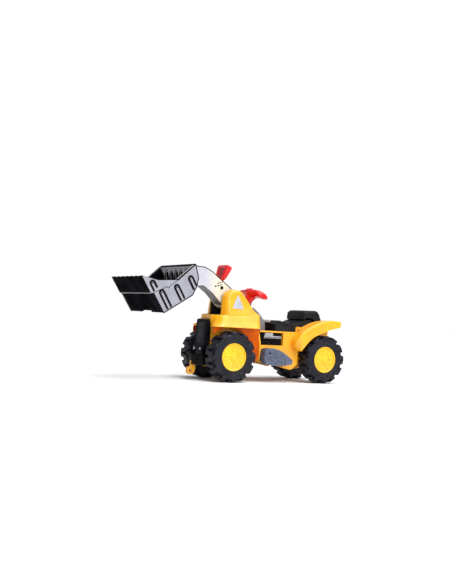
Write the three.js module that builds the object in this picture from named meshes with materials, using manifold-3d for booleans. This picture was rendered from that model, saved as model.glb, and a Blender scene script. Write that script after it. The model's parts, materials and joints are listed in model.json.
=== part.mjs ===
// A foot-to-floor ride-on loader for a small child, built as separate moulded and steel pieces.
// Millimetres, +X forward, +Y to the rider's left, +Z up. Every length below is measured from the
// middle of the front axle; the finished group is then moved so that the origin lies on the floor
// under the middle of the toy.
import * as THREE from "three";
import { ConvexGeometry } from "three/addons/geometries/ConvexGeometry.js";
import { mergeVertices } from "three/addons/utils/BufferGeometryUtils.js";
import Module from "manifold-3d";

// ---------------------------------------------------------------- driving dimensions
const WHEELBASE = 511;
const TYRE_R = 115;
const LUG_DEPTH = 11; // from the tyre's outside to the tread floor
const TYRE_W = 75;
const TYRE_LUGS = 12; // on each shoulder
const LUG_HALF_DEG = 5; // half of a lug's flat, seen from the axle
const WHEEL_OUTER_Y = 158; // outer face of the tyres
const HUB_R = 63;
const AXLE_R = 6;
const WALL = 3; // moulded shells
const GAP = 0.5; // between pieces that are pressed or screwed together
const RUN = 0.6; // radial clearance of pieces that turn
const PRESS = 0.3; // radial clearance of pieces that do not
const ARCH_CLEAR = 15; // tyre to wheel arch

const SIDE_HALF_W = 100; // body beside the rider's legs
const TAIL_HALF_W = 76; // body between the rear wheels
const SEAT_HALF_W = 90;
const CONSOLE_HALF_W = 58;
const FOOTREST_W = 42;
const FENDER_RISE = 59; // from the tyre's top to the fender's crown

const HOOD_HALF_W = 88; // over the pods
const FLARE_HALF_W = 122;
const SHELF_Z = 182; // top of the hood in front of the arm
const GRILLE_HALF_W = 45;
const GRILLE_X = 71; // back of the grille
const LAMP_Y = 28;
const LAMP_Z = 29;
const LAMP_R = 10;

const KINGPIN_Y = 64;
const KINGPIN_R = 4;
const FRAME_HALF_W = KINGPIN_Y - 24; // keel between the steered wheels
const KNUCKLE_ARM = 66; // kingpin to tie rod
const PEG_SWING = 1.2; // the drop arm's peg moves on an arc, the tie rod straight
const RAKE = THREE.MathUtils.degToRad(22); // steering column leans back
const BAR_X = -165; // handlebar hub on the column's axis
const BAR_Z = 290;
const BAR_HALF_W = 98;

const ARM_X = -22; // loader arm's pivot
const ARM_Z = 263;
const ARM_HALF_W = 39;
const SLOT_HALF_W = ARM_HALF_W + 11; // gap in the hood that the loader arm swings in
const ARM_WALL = 3;
const ARM_ROOT_R = 46;
const TIP = [204, 96]; // bucket pivot, from the arm's pivot
const LEVER = [42, 47]; // lever pivot, from the arm's pivot
const CRANK = 22; // lever crank and bucket crank
const PIN_R = 6;
const LEVER_PIN_R = 4;
const LINK_PIN_R = 3;
const LUG_R = 20;
const EYE_PLAY = 2.6; // the rod's far eye is a slot, this far each way

const BUCKET_HALF_W = 170;
const BUCKET_WALL = 4;
const CHEEK_T = 4;
const BLADE_T = 10;
const TEETH = 7;
const TOOTH_DEPTH = 12;
const TOOTH_TIP = [295, -31]; // from the bucket's pivot

// ---------------------------------------------------------------- finishes
const finish = (color, roughness, metalness = 0) =>
  new THREE.MeshStandardMaterial({ color, roughness, metalness });
const YELLOW = finish(0xf7b512, 0.35);
const HUB_YELLOW = finish(0xffc814, 0.4);
const BLACK = finish(0x15161a, 0.4);
const TYRE_BLACK = finish(0x1d1d24, 0.6);
const CHARCOAL = finish(0x2c2d33, 0.5);
const GREY = finish(0x6f7078, 0.5);
const STEP_GREY = finish(0x6c7690, 0.6);
const SILVER = finish(0xbfc1cc, 0.4);
const BELLY_GREY = finish(0x5a5152, 0.55);
const RED = finish(0xd3141a, 0.35);
const CHROME = finish(0xd8dade, 0.15, 1);
const STEEL = finish(0x9a9da3, 0.3, 1);

// ---------------------------------------------------------------- solids
const wasm = await Module();
wasm.setup();
const { cos, sin, tan, PI, hypot, atan2, asin, min, max } = Math;

// A closed geometry as a solid that can be joined and cut.
function solid(geometry) {
  geometry.deleteAttribute("normal");
  geometry.deleteAttribute("uv");
  const merged = mergeVertices(geometry, 1e-3);
  const triVerts = new Uint32Array(merged.index.array);
  const vertProperties = merged.attributes.position.array;
  return new wasm.Manifold(new wasm.Mesh({ numProp: 3, vertProperties, triVerts }));
}

const joined = (first, ...rest) => rest.reduce((all, next) => all.add(next), first);
const cut = (first, ...rest) => rest.reduce((all, next) => all.subtract(next), first);

// An outline as a shape; a corner [u, v, r] is rounded off over r each way, where its sides allow.
function shapeOf(corners) {
  const shape = new THREE.Shape();
  const count = corners.length;
  corners.forEach(([u, v, r = 0], i) => {
    if (!r) {
      if (i) shape.lineTo(u, v);
      else shape.moveTo(u, v);
      return;
    }
    const before = corners[(i + count - 1) % count];
    const after = corners[(i + 1) % count];
    const room = ([a, b]) => 0.48 * hypot(a - u, b - v);
    const reach = min(r, room(before), room(after));
    const towards = ([a, b]) => {
      const far = hypot(a - u, b - v);
      return [u + ((a - u) * reach) / far, v + ((b - v) * reach) / far];
    };
    const from = towards(before);
    const to = towards(after);
    if (i) shape.lineTo(...from);
    else shape.moveTo(...from);
    shape.quadraticCurveTo(u, v, ...to);
  });
  shape.closePath();
  return shape;
}

const extruded = (corners, depth) =>
  new THREE.ExtrudeGeometry(shapeOf(corners), { depth, bevelEnabled: false, curveSegments: 3 });

// Outlines in XZ carried along Y, in XY carried along Z, and in YZ carried along X.
function prismY(corners, y0, y1) {
  const low = min(y0, y1);
  const high = max(y0, y1);
  return solid(extruded(corners, high - low).rotateX(PI / 2).translate(0, high, 0));
}
const prismZ = (corners, z0, z1) => solid(extruded(corners, z1 - z0).translate(0, 0, z0));
const prismX = (corners, x0, x1) =>
  solid(extruded(corners, x1 - x0).rotateX(PI / 2).rotateZ(PI / 2).translate(x0, 0, 0));

const block = (x0, x1, y0, y1, z0, z1) =>
  solid(
    new THREE.BoxGeometry(x1 - x0, Math.abs(y1 - y0), z1 - z0).translate(
      (x0 + x1) / 2,
      (y0 + y1) / 2,
      (z0 + z1) / 2,
    ),
  );
const hull = (points) =>
  solid(new ConvexGeometry(points.map(([x, y, z]) => new THREE.Vector3(x, y, z))));

// Points of an arc from angle a to angle b, in degrees, and of a whole circle.
const arc = (u, v, r, a, b, steps) =>
  Array.from({ length: steps + 1 }, (_, i) => {
    const t = THREE.MathUtils.degToRad(a + ((b - a) * i) / steps);
    return [u + r * cos(t), v + r * sin(t)];
  });
const circle = (u, v, r, sides = 16) => arc(u, v, r, 0, 360 - 360 / sides, sides - 1);
const barY = (x, z, r, y0, y1, sides = 16) => prismY(circle(x, z, r, sides), y0, y1);
const barZ = (x, y, r, z0, z1, sides = 16) => prismZ(circle(x, y, r, sides), z0, z1);

// The outline that surrounds round ends and corners, all in one plane, as a prism along Y.
const linkY = (rounds, y0, y1) => {
  const ring = rounds.flatMap(([u, v, r]) => circle(u, v, r, r < 5 ? 8 : 14));
  return hull([...ring.map(([u, v]) => [u, y0, v]), ...ring.map(([u, v]) => [u, y1, v])]);
};

// A round bar between two points in space.
function barBetween(from, to, r, sides = 16) {
  const a = new THREE.Vector3(...from);
  const run = new THREE.Vector3(...to).sub(a);
  const turn = new THREE.Quaternion().setFromUnitVectors(
    new THREE.Vector3(0, 1, 0),
    run.clone().normalize(),
  );
  const middle = a.clone().addScaledVector(run, 0.5);
  const geometry = new THREE.CylinderGeometry(r, r, run.length(), sides).applyQuaternion(turn);
  return solid(geometry.translate(middle.x, middle.y, middle.z));
}

// An outline moved inwards by d, corner by corner along the bisectors.
function inset(outline, d) {
  const corners = outline.map(([u, v]) => [u, v]);
  if (THREE.ShapeUtils.area(corners.map(([u, v]) => ({ x: u, y: v }))) < 0) corners.reverse();
  const count = corners.length;
  const normal = ([a, b], [c, e]) => {
    const far = hypot(c - a, e - b);
    return [-(e - b) / far, (c - a) / far];
  };
  return corners.map(([u, v], i) => {
    const n = normal(corners[(i + count - 1) % count], [u, v]);
    const m = normal([u, v], corners[(i + 1) % count]);
    const k = d / (1 + n[0] * m[0] + n[1] * m[1]);
    return [u + (n[0] + m[0]) * k, v + (n[1] + m[1]) * k];
  });
}

// A line of corners thickened by d to its left.
function strip(line, d) {
  const moved = line.map(([u, v], i) => {
    const [a, b] = line[max(i - 1, 0)];
    const [c, e] = line[min(i + 1, line.length - 1)];
    const far = hypot(c - a, e - b);
    return [u - ((e - b) * d) / far, v + ((c - a) * d) / far];
  });
  return [...line, ...moved.reverse()];
}

const shift = (corners, x, z) => corners.map(([u, v, ...r]) => [u + x, v + z, ...r]);

// ---------------------------------------------------------------- assembly
const digger = new THREE.Group();
const LENGTH_FRONT = ARM_X + TIP[0] + TOOTH_TIP[0];
const LENGTH_REAR = -WHEELBASE - TYRE_R;
digger.position.set(-(LENGTH_FRONT + LENGTH_REAR) / 2, 0, TYRE_R);

function add(name, shape, material) {
  const { vertProperties, triVerts } = shape.getMesh();
  const geometry = new THREE.BufferGeometry();
  geometry.setAttribute("position", new THREE.BufferAttribute(vertProperties, 3));
  geometry.setIndex(new THREE.BufferAttribute(triVerts, 1));
  const mesh = new THREE.Mesh(geometry, material);
  mesh.name = name;
  digger.add(mesh);
}

const SIDES = [
  ["left", 1],
  ["right", -1],
];
const REAR_X = -WHEELBASE;
const TYRE_CORE_R = TYRE_R - LUG_DEPTH;
const ARCH_R = TYRE_R + ARCH_CLEAR;
const CREASE_Z = ARCH_R + WALL; // lower edge of the hood's flare
const MID_FRONT_X = -TYRE_R - 31; // body widens behind the front wheels
const HOOD_REAR_X = -TYRE_R - 52;
const MID_REAR_X = REAR_X + TYRE_R + 10; // and narrows before the rear wheels
const DECK_Z = CREASE_Z - 8; // top of the side body
const TAIL_Z = DECK_Z + 25; // top of the body between the rear wheels
const SEAT_REAR_X = REAR_X - 12;

// Steering column: a straight line in the plane Y = 0, leaning back by RAKE.
const columnX = (z) => BAR_X + (BAR_Z - z) * tan(RAKE);
const onColumn = (along, across = 0, y = 0) => [
  BAR_X - along * sin(RAKE) + across * cos(RAKE),
  y,
  BAR_Z + along * cos(RAKE) + across * sin(RAKE),
];
const COLUMN_R = 5;
const columnHole = (r, z0, z1) => barBetween([columnX(z0), 0, z0], [columnX(z1), 0, z1], r, 16);

// ---------------------------------------------------------------- body
const TIE_ROD_X = -KNUCKLE_ARM;
const TIE_ROD_Z = -24;
const BEAM_HALF = 16;
const BAY_DEPTH = 26; // engine bays in the body's sides
const BAY_LOW_Z = DECK_Z - 67;
const PIPE_Z = DECK_Z - 30;

function chassis() {
  const keelTop = SHELF_Z - WALL - 6;
  const keelFront = GRILLE_X - WALL - 3;
  const keel = block(MID_FRONT_X - 10, keelFront, -FRAME_HALF_W, FRAME_HALF_W, -38, keelTop);
  const midSide = [
    [MID_FRONT_X, 40],
    [MID_FRONT_X - 30, -30, 20],
    [MID_FRONT_X - 110, -38],
    [MID_REAR_X + 35, -57, 12],
    [MID_REAR_X, -30],
    [MID_REAR_X, DECK_Z],
    [MID_FRONT_X - 18, DECK_Z],
  ];
  const mid = prismY(midSide, -SIDE_HALF_W, SIDE_HALF_W);
  const tailSide = [
    [MID_REAR_X + 12, -30],
    [MID_REAR_X + 12, TAIL_Z],
    [SEAT_REAR_X - 18, TAIL_Z],
    [SEAT_REAR_X - 22, TAIL_Z + 28, 6],
    [REAR_X - 66, TAIL_Z + 26, 12],
    [REAR_X - 66, 60, 20],
    [REAR_X - 30, -26, 16],
  ];
  const tail = prismY(tailSide, -TAIL_HALF_W, TAIL_HALF_W);
  const within = (half) => half - WALL;
  const keelInside = block(
    MID_FRONT_X - 6,
    keelFront - WALL,
    -within(FRAME_HALF_W),
    within(FRAME_HALF_W),
    -60,
    keelTop - WALL,
  );
  const midInside = [
    [SIDE_HALF_W, BAY_LOW_Z - WALL],
    [SIDE_HALF_W - BAY_DEPTH, DECK_Z - WALL],
  ].map(([half, top]) =>
    block(MID_REAR_X + WALL, MID_FRONT_X - 34, -within(half), within(half), -80, top),
  );
  const tailInside = block(
    REAR_X - 50,
    MID_REAR_X + 20,
    -within(TAIL_HALF_W),
    within(TAIL_HALF_W),
    -60,
    TAIL_Z - WALL,
  );
  const engineBays = SIDES.map(([, side]) =>
    block(
      MID_FRONT_X - 150,
      MID_FRONT_X - 16,
      side * (SIDE_HALF_W - BAY_DEPTH),
      side * (SIDE_HALF_W + 10),
      BAY_LOW_Z,
      DECK_Z - 7,
    ),
  );
  const shell = cut(joined(keel, mid, tail), keelInside, ...midInside, tailInside, ...engineBays);
  const beamSlot = block(
    -BEAM_HALF - GAP,
    BEAM_HALF + GAP,
    -FRAME_HALF_W - 1,
    FRAME_HALF_W + 1,
    -60,
    11,
  );
  const tieSlot = block(TIE_ROD_X - 14, TIE_ROD_X + 14, -60, 60, -60, -14);
  const rearBore = barY(REAR_X, 0, AXLE_R + RUN, -SIDE_HALF_W, SIDE_HALF_W);
  add(
    "chassis",
    cut(shell, beamSlot, tieSlot, rearBore, columnHole(COLUMN_R + 2, 150, 210)),
    YELLOW,
  );
}

function hood() {
  // The lower hood widens downwards from the pods to the flare.
  const front = TYRE_R - 3;
  const rear = HOOD_REAR_X;
  const bell = (in_, low) =>
    hull(
      [1, -1].flatMap((s) => [
        [GRILLE_X + 1 - in_, s * (GRILLE_HALF_W + 10 - in_), SHELF_Z - in_],
        [rear + 8 + in_, s * (HOOD_HALF_W - 8 - in_), SHELF_Z + 17 - in_],
        [30 - in_, s * (HOOD_HALF_W - in_), SHELF_Z + 2 - in_],
        [rear + 14 + in_, s * (HOOD_HALF_W + 2 - in_), SHELF_Z + 4 - in_],
        [front - 46 - in_, s * (FLARE_HALF_W - 18 - in_), SHELF_Z - 16 - in_],
        [rear + 18 + in_, s * (FLARE_HALF_W - 10 - in_), SHELF_Z - 24 - in_],
        [GRILLE_X + 4 - in_, s * (GRILLE_HALF_W + 7 - in_), low],
        [front - 24 - in_, s * (FLARE_HALF_W - 22 - in_), low],
        [front - 50 - in_, s * (FLARE_HALF_W - in_), low],
        [rear + 22 + in_, s * (FLARE_HALF_W - in_), low],
        [rear + in_, s * (98 - in_), low],
      ]),
    );
  const podSide = [
    [26, 170],
    [19, 287, 14],
    [-20, 305, 16],
    [-53, 300, 16],
    [-98, 255, 16],
    [-116, 214, 10],
    [-122, 170],
  ].reverse();
  const podInside = inset(podSide, WALL).map(([u, v]) => [u, v < 180 ? 150 : v]);
  // Each pod's front is swept back towards the outside.
  const swept = (side) =>
    prismZ(
      [
        [27, side * SLOT_HALF_W],
        [60, side * (SLOT_HALF_W - 2)],
        [60, side * (HOOD_HALF_W + 6)],
        [0, side * (HOOD_HALF_W + 6)],
      ],
      SHELF_Z + 8,
      330,
    );
  const pods = SIDES.map(([, side]) =>
    cut(prismY(podSide, side * SLOT_HALF_W, side * HOOD_HALF_W), swept(side)),
  );
  const hollows = SIDES.map(([, side]) =>
    prismY(podInside, side * (SLOT_HALF_W + WALL), side * (HOOD_HALF_W - WALL)),
  );
  const backSide = [
    [-76, 170],
    [-72, 274],
    [-98, 255, 10],
    [-116, 214, 10],
    [-122, 170],
  ].reverse();
  const back = prismY(backSide, -SLOT_HALF_W - 1, SLOT_HALF_W + 1);
  // Skirts carry the wheel arch and the leg behind the wheel.
  const skirtSide = [
    ...arc(0, 0, ARCH_R, 53, 188, 20),
    [-TYRE_R - 30, -24, 6],
    [-TYRE_R - 49, 17, 8],
    [-TYRE_R - 50, 57, 12],
    [-TYRE_R - 29, CREASE_Z + 6],
    [front - 34, CREASE_Z + 6],
    [front - 34, 105],
  ].reverse();
  const skirts = SIDES.map(([, side]) =>
    prismY(skirtSide, side * (FLARE_HALF_W - 20), side * (FLARE_HALF_W - 8)),
  );
  const grilleRoom = block(
    GRILLE_X - GAP,
    front + 20,
    -GRILLE_HALF_W - GAP,
    GRILLE_HALF_W + GAP,
    0,
    300,
  );
  const pinHole = barY(ARM_X, ARM_Z, PIN_R + PRESS, -SLOT_HALF_W - 10, SLOT_HALF_W + 10);
  const outside = joined(bell(0, CREASE_Z), ...pods, back);
  const shell = cut(outside, bell(WALL, CREASE_Z - 30), ...hollows);
  add(
    "hood",
    cut(joined(shell, ...skirts), grilleRoom, pinHole, columnHole(COLUMN_R + 2, 150, 260)),
    YELLOW,
  );
  add(
    "arm_pivot_pin",
    barY(ARM_X, ARM_Z, PIN_R, -SLOT_HALF_W - WALL - 6, SLOT_HALF_W + WALL + 6),
    STEEL,
  );
}

function console() {
  const rear = HOOD_REAR_X;
  const side = [
    [rear - GAP, DECK_Z + GAP],
    [rear - 50, DECK_Z + GAP],
    [rear - 48, 166, 12],
    [-178, 206, 12],
    [-146, 230, 8],
    [-118, 226],
    [-120, 200 + GAP],
    [rear + 8, 200 + GAP],
    [rear - GAP, 196],
  ].reverse();
  const body = prismY(side, -CONSOLE_HALF_W, CONSOLE_HALF_W);
  const inside = prismY(inset(side, WALL), WALL - CONSOLE_HALF_W, CONSOLE_HALF_W - WALL);
  const vent = block(rear - 50, rear - 10, -40, 40, DECK_Z - 5, DECK_Z + 20);
  const boss = barBetween([columnX(212), 0, 212], [columnX(246), 0, 246], 17, 18);
  add(
    "console",
    cut(joined(cut(body, inside, vent), boss), columnHole(COLUMN_R + RUN, 180, 260)),
    GREY,
  );
}

function grille() {
  const face = 101;
  const side = [
    [GRILLE_X, 18],
    [GRILLE_X, 150, 10],
    [82, 166, 8],
    [94, 160, 8],
    [face, 44, 6],
    [108, 40],
    [108, 18],
  ].reverse();
  const housing = prismY(side, -GRILLE_HALF_W, GRILLE_HALF_W);
  const recess = hull(
    [-26, 26].flatMap((y) => [
      [102.5, y, 54],
      [99, y, 54],
      [96.5, y, 148],
      [90.5, y, 148],
    ]),
  );
  const back = block(60, 90, -GRILLE_HALF_W + WALL, GRILLE_HALF_W - WALL, 22, 140);
  const lampHoles = SIDES.map(([, side]) =>
    barBetween([96, side * LAMP_Y, LAMP_Z], [112, side * LAMP_Y, LAMP_Z], LAMP_R + GAP, 20),
  );
  add("grille", cut(housing, recess, back, ...lampHoles), BLACK);
  const panel = hull(
    [-25.5, 25.5].flatMap((y) => [
      [100.5, y, 54.5],
      [99.4, y, 54.5],
      [95, y, 147.5],
      [92, y, 147.5],
    ]),
  );
  add("grille_panel", panel, CHARCOAL);
  for (const [name, side] of SIDES) {
    const lens = barBetween([97, side * LAMP_Y, LAMP_Z], [111, side * LAMP_Y, LAMP_Z], LAMP_R, 20);
    add("headlight_" + name, lens, CHROME);
  }
  const bumperPlan = [
    [GRILLE_X, -48],
    [108, -50, 8],
    [142, -16, 10],
    [142, 16, 10],
    [108, 50, 8],
    [GRILLE_X, 48],
  ];
  const bumper = cut(
    prismZ(bumperPlan, -45, 2),
    prismZ(inset(bumperPlan, WALL), -60, 2 - WALL),
    block(113, 150, -9 - GAP, 9 + GAP, -60, -28 + GAP),
  );
  const bridge = block(GRILLE_X, 100, -30, 30, 1, 17.5);
  add("bumper", joined(bumper, bridge), BLACK);
  const hookSide = [
    [116, -28],
    [139, -28],
    [139, -55, 6],
    [158, -60, 8],
    [158, -90, 10],
    [120, -90, 14],
    [116, -60],
  ].reverse();
  add("tow_hook", cut(prismY(hookSide, -9, 9), barY(140, -74, 7, -10, 10)), YELLOW);
}

function sidePieces() {
  const bayFront = MID_FRONT_X - 16 - GAP;
  const bayRear = MID_FRONT_X - 150 + GAP;
  const inner = SIDE_HALF_W - BAY_DEPTH + GAP;
  for (const [name, side] of SIDES) {
    const engine = block(
      bayRear,
      bayFront,
      side * inner,
      side * (inner + 10),
      BAY_LOW_Z + GAP,
      DECK_Z - 7 - GAP,
    );
    const ribs = [0, 1, 2, 3].map((i) =>
      block(
        bayRear + 12 + i * 30,
        bayRear + 24 + i * 30,
        side * (inner + 9),
        side * (inner + 15),
        BAY_LOW_Z + 4,
        BAY_LOW_Z + 18,
      ),
    );
    add("engine_" + name, joined(engine, ...ribs), BLACK);
    const pipeY = side * (inner + 18.5);
    const pipe = barBetween([bayFront - 22, pipeY, PIPE_Z], [bayRear + 8, pipeY, PIPE_Z], 8, 18);
    const foot = [bayFront - 40, bayRear + 20].map((x) =>
      block(x - 4, x + 4, side * (inner + 10.4), side * (inner + 16), PIPE_Z - 4, PIPE_Z + 4),
    );
    add("exhaust_" + name, joined(pipe, ...foot), CHROME);

    const outer = SIDE_HALF_W + FOOTREST_W;
    const side0 = SIDE_HALF_W + GAP;
    const stepSide = [
      [MID_FRONT_X - 26, 42, 14],
      [MID_FRONT_X - 21, -6, 16],
      [MID_FRONT_X - 34, -31, 10],
      [MID_FRONT_X - 90, -36],
      [MID_REAR_X + 62, -30, 10],
      [MID_REAR_X + 55, -8, 8],
      [MID_FRONT_X - 120, 34, 30],
      [MID_FRONT_X - 70, 46, 10],
    ];
    const step = prismY(stepSide, side * side0, side * outer);
    const stepIn = prismY(
      inset(stepSide, WALL),
      side * (side0 - 10),
      side * (outer - WALL),
    );
    add("footrest_" + name, cut(step, stepIn), STEP_GREY);
  }
}

function seat() {
  const front = -TYRE_R - 103;
  const rear = SEAT_REAR_X;
  const top = [
    [front, 160, 6],
    [front - 4, 172, 6],
    [front - 62, 176, 12],
    [front - 120, 160, 30],
    [rear + 130, 164, 24],
    [rear + 96, 182, 10],
    [rear + 50, 188],
    [rear + 50, 173],
  ];
  const pan = [
    ...top,
    [rear + 50, TAIL_Z + GAP],
    [MID_REAR_X + 14, TAIL_Z + GAP],
    [MID_REAR_X + 14, DECK_Z + GAP],
    [front - 40, DECK_Z + GAP],
    [front - 34, 158, 6],
  ];
  const hollow = block(MID_REAR_X + 20, front - 46, -74, 74, DECK_Z - 10, 153);
  const narrow = SIDES.map(([, side]) =>
    block(rear - 20, MID_REAR_X + 1, side * (TAIL_HALF_W - GAP), side * 120, 100, 260),
  );
  add("seat", cut(prismY(pan, -SEAT_HALF_W, SEAT_HALF_W), hollow, ...narrow), CHARCOAL);
  const backSide = [
    [rear + 96, 190, 10],
    [rear + 94, 224, 12],
    [rear + 80, 230, 10],
    [rear + 8, 234, 16],
    [rear - 14, 188, 8],
    [rear - 16, TAIL_Z + GAP],
    [rear + 49, TAIL_Z + GAP],
    [rear + 49, 189],
  ];
  const backHalf = TAIL_HALF_W - GAP;
  const inside = block(rear + 2, rear + 44, -backHalf + WALL, backHalf - WALL, TAIL_Z - 10, 222);
  add("backrest", cut(prismY(backSide, -backHalf, backHalf), inside), BLACK);
}

function fenders() {
  const crown = TYRE_R + FENDER_RISE;
  const crest = [
    [ARCH_R + 20, 38, 8],
    [ARCH_R + 50, 76, 10],
    [ARCH_R + 22, crown - 50, 14],
    [ARCH_R - 7, crown - 33],
    [ARCH_R - 37, crown - 17],
    [48, crown],
    [-5, crown + 15],
    [-28, crown + 18],
    [-76, crown + 13],
  ];
  const outline = [
    ...crest,
    [-78, crown - 15],
    [-25, crown - 29],
    ...arc(0, 0, ARCH_R, 78, 26, 10),
  ].reverse();
  const outside = shift(outline, REAR_X, 0);
  const square = crest.map(([u, v]) => [u, v]);
  const below = shift(strip(square, WALL), REAR_X, 0);
  for (const [name, side] of SIDES) {
    const y0 = TAIL_HALF_W + GAP;
    const plan = [
      [REAR_X - 82, y0],
      [REAR_X - 82, WHEEL_OUTER_Y],
      [REAR_X + ARCH_R + 17, WHEEL_OUTER_Y, 10],
      [REAR_X + ARCH_R + 54, WHEEL_OUTER_Y - 46, 10],
      [REAR_X + ARCH_R + 54, SIDE_HALF_W + GAP],
      [MID_REAR_X - GAP, SIDE_HALF_W + GAP],
      [MID_REAR_X - GAP, y0],
    ].map(([u, v, ...r]) => [u, side * v, ...r]);
    const skin = prismY(below, side * y0, side * WHEEL_OUTER_Y);
    const lip = prismY(outside, side * (WHEEL_OUTER_Y - WALL), side * WHEEL_OUTER_Y);
    const room = prismZ(plan, -10, 300);
    add("rear_fender_" + name, joined(skin, lip).intersect(room), YELLOW);
  }
}

// ---------------------------------------------------------------- wheels and steering
function wheel(name, x, side) {
  const outer = WHEEL_OUTER_Y;
  const inner = WHEEL_OUTER_Y - TYRE_W;
  const middle = (outer + inner) / 2;
  const half = TYRE_W / 2;
  const bead = HUB_R + 0.4;
  const belt = (bead + TYRE_CORE_R) / 2;
  const ring = [
    [bead, -half + 6],
    [belt, -half + 2],
    [TYRE_CORE_R - 8, -half + 3],
    [TYRE_CORE_R, -half + 14],
    [TYRE_CORE_R, half - 14],
    [TYRE_CORE_R - 8, half - 3],
    [belt, half - 2],
    [bead, half - 6],
    [bead, -half + 6],
  ];
  const spin = (profile, sides) => {
    const line = profile.map(([r, y]) => new THREE.Vector2(r, side * y));
    if (side < 0) line.reverse();
    return solid(new THREE.LatheGeometry(line, sides).translate(x, side * middle, 0));
  };
  const core = spin(ring, 2 * TYRE_LUGS);
  const pitch = 360 / TYRE_LUGS;
  const lugHalf = THREE.MathUtils.degToRad(LUG_HALF_DEG);
  const lugs = [0, 1].map((row) => {
    const start = row * (pitch / 2);
    const teeth = Array.from({ length: TYRE_LUGS }, (_, i) => {
      const a = start + i * pitch;
      return [
        ...arc(0, 0, TYRE_R / cos(lugHalf), a - LUG_HALF_DEG, a + LUG_HALF_DEG, 1),
        ...arc(0, 0, belt + 6, a + 8, a + pitch - 8, 1),
      ];
    }).flat();
    const low = row ? -half : -4;
    const high = row ? 4 : half;
    return prismY(shift(teeth, x, 0), side * (middle + low), side * (middle + high));
  });
  const bore = barY(x, 0, bead, inner * side - side * 5, side * (outer + 5), 2 * TYRE_LUGS);
  const air = spin(
    [
      [bead - 4, -half + 3 + WALL],
      [TYRE_CORE_R - 8, -half + 5 + WALL],
      [TYRE_CORE_R - WALL, 0],
      [TYRE_CORE_R - 8, half - 5 - WALL],
      [bead - 4, half - 8 - WALL],
      [bead - 4, -half + 3 + WALL],
    ],
    TYRE_LUGS,
  );
  add("tyre_" + name, cut(joined(core, ...lugs), bore, air), TYRE_BLACK);

  const eye = AXLE_R + RUN;
  const disc = [
    [eye, -half + 8],
    [eye + 7, -half + 8],
    [eye + 7, half - 15],
    [HUB_R - WALL, half - 15],
    [HUB_R - WALL, -half + 8],
    [HUB_R, -half + 8],
    [HUB_R, half - 4],
    [HUB_R - 8, half - 9],
    [24, half - 11],
    [20, half - 6],
    [eye + 6, half - 6],
    [eye + 6, half - 14],
    [eye, half - 14],
    [eye, -half + 8],
  ];
  const face = side * (middle + half - 11);
  const bolts = Array.from({ length: 5 }, (_, i) => {
    const a = (i * 2 * PI) / 5 + PI / 2;
    return barY(x + 40 * cos(a), 40 * sin(a), 8, face - side * 2, face + side * 5, 8);
  });
  add("hub_" + name, joined(spin(disc, 2 * TYRE_LUGS), ...bolts), HUB_YELLOW);
  add(
    "hub_cap_" + name,
    barY(
      x,
      0,
      eye + 5.6,
      side * (middle + half - 13.6),
      side * (middle + half - 4),
      16,
    ),
    CHROME,
  );
}

function axles() {
  const stop = WHEEL_OUTER_Y - 16;
  add("rear_axle", barY(REAR_X, 0, AXLE_R, -stop, stop), STEEL);

  const root = KINGPIN_Y - 14;
  const beam = block(-BEAM_HALF, BEAM_HALF, -root, root, -20, 10);
  const yokes = SIDES.map(([, side]) =>
    cut(
      block(-BEAM_HALF, BEAM_HALF, side * (root - 4), side * (KINGPIN_Y + 13), -20, 20),
      block(-BEAM_HALF - 1, BEAM_HALF + 1, side * (root + 2), side * (KINGPIN_Y + 20), -14, 14),
      barZ(0, side * KINGPIN_Y, KINGPIN_R + PRESS / 2, -30, 30, 16),
    ),
  );
  add("front_axle_beam", joined(beam, ...yokes), BLACK);
  for (const [name, side] of SIDES) {
    const y = side * KINGPIN_Y;
    add("kingpin_" + name, joined(barZ(0, y, KINGPIN_R, -20, 20.4, 16), barZ(0, y, 7, 20.3, 23, 16)), STEEL);
    const barrel = barZ(0, y, 11, -13.4, 13.4, 20);
    const stub = barY(0, 0, AXLE_R, y + side * 6, side * stop);
    const collar = barY(0, 0, 12, y + side * 8, side * (WHEEL_OUTER_Y - TYRE_W + 5), 20);
    const arm = hull(
      [-12, -6].flatMap((z) => [
        ...circle(0, y, 8, 12).map(([u, v]) => [u, v, z]),
        ...circle(TIE_ROD_X, y, 5.5, 12).map(([u, v]) => [u, v, z]),
      ]),
    );
    const peg = barZ(TIE_ROD_X, y, LINK_PIN_R, -30, -11, 14);
    const bore = barZ(0, y, KINGPIN_R + RUN, -20, 20, 16);
    add("knuckle_" + name, cut(joined(barrel, stub, collar, arm, peg), bore), BLACK);
  }
  const ends = KINGPIN_Y + 9;
  const bar = block(TIE_ROD_X - 8, TIE_ROD_X + 8, -ends, ends, TIE_ROD_Z - 3, TIE_ROD_Z + 3);
  const eyes = SIDES.map(([, side]) =>
    prismZ(
      [
        ...arc(TIE_ROD_X - 1.6, side * KINGPIN_Y, LINK_PIN_R + RUN, 90, 270, 8),
        ...arc(TIE_ROD_X + 1, side * KINGPIN_Y, LINK_PIN_R + RUN, -90, 90, 8),
      ],
      TIE_ROD_Z - 10,
      TIE_ROD_Z + 10,
    ),
  );
  const peg = barZ(TIE_ROD_X, 0, LINK_PIN_R, TIE_ROD_Z, TIE_ROD_Z + 22, 14);
  add("tie_rod", joined(cut(bar, ...eyes), peg), STEEL);
}

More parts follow.
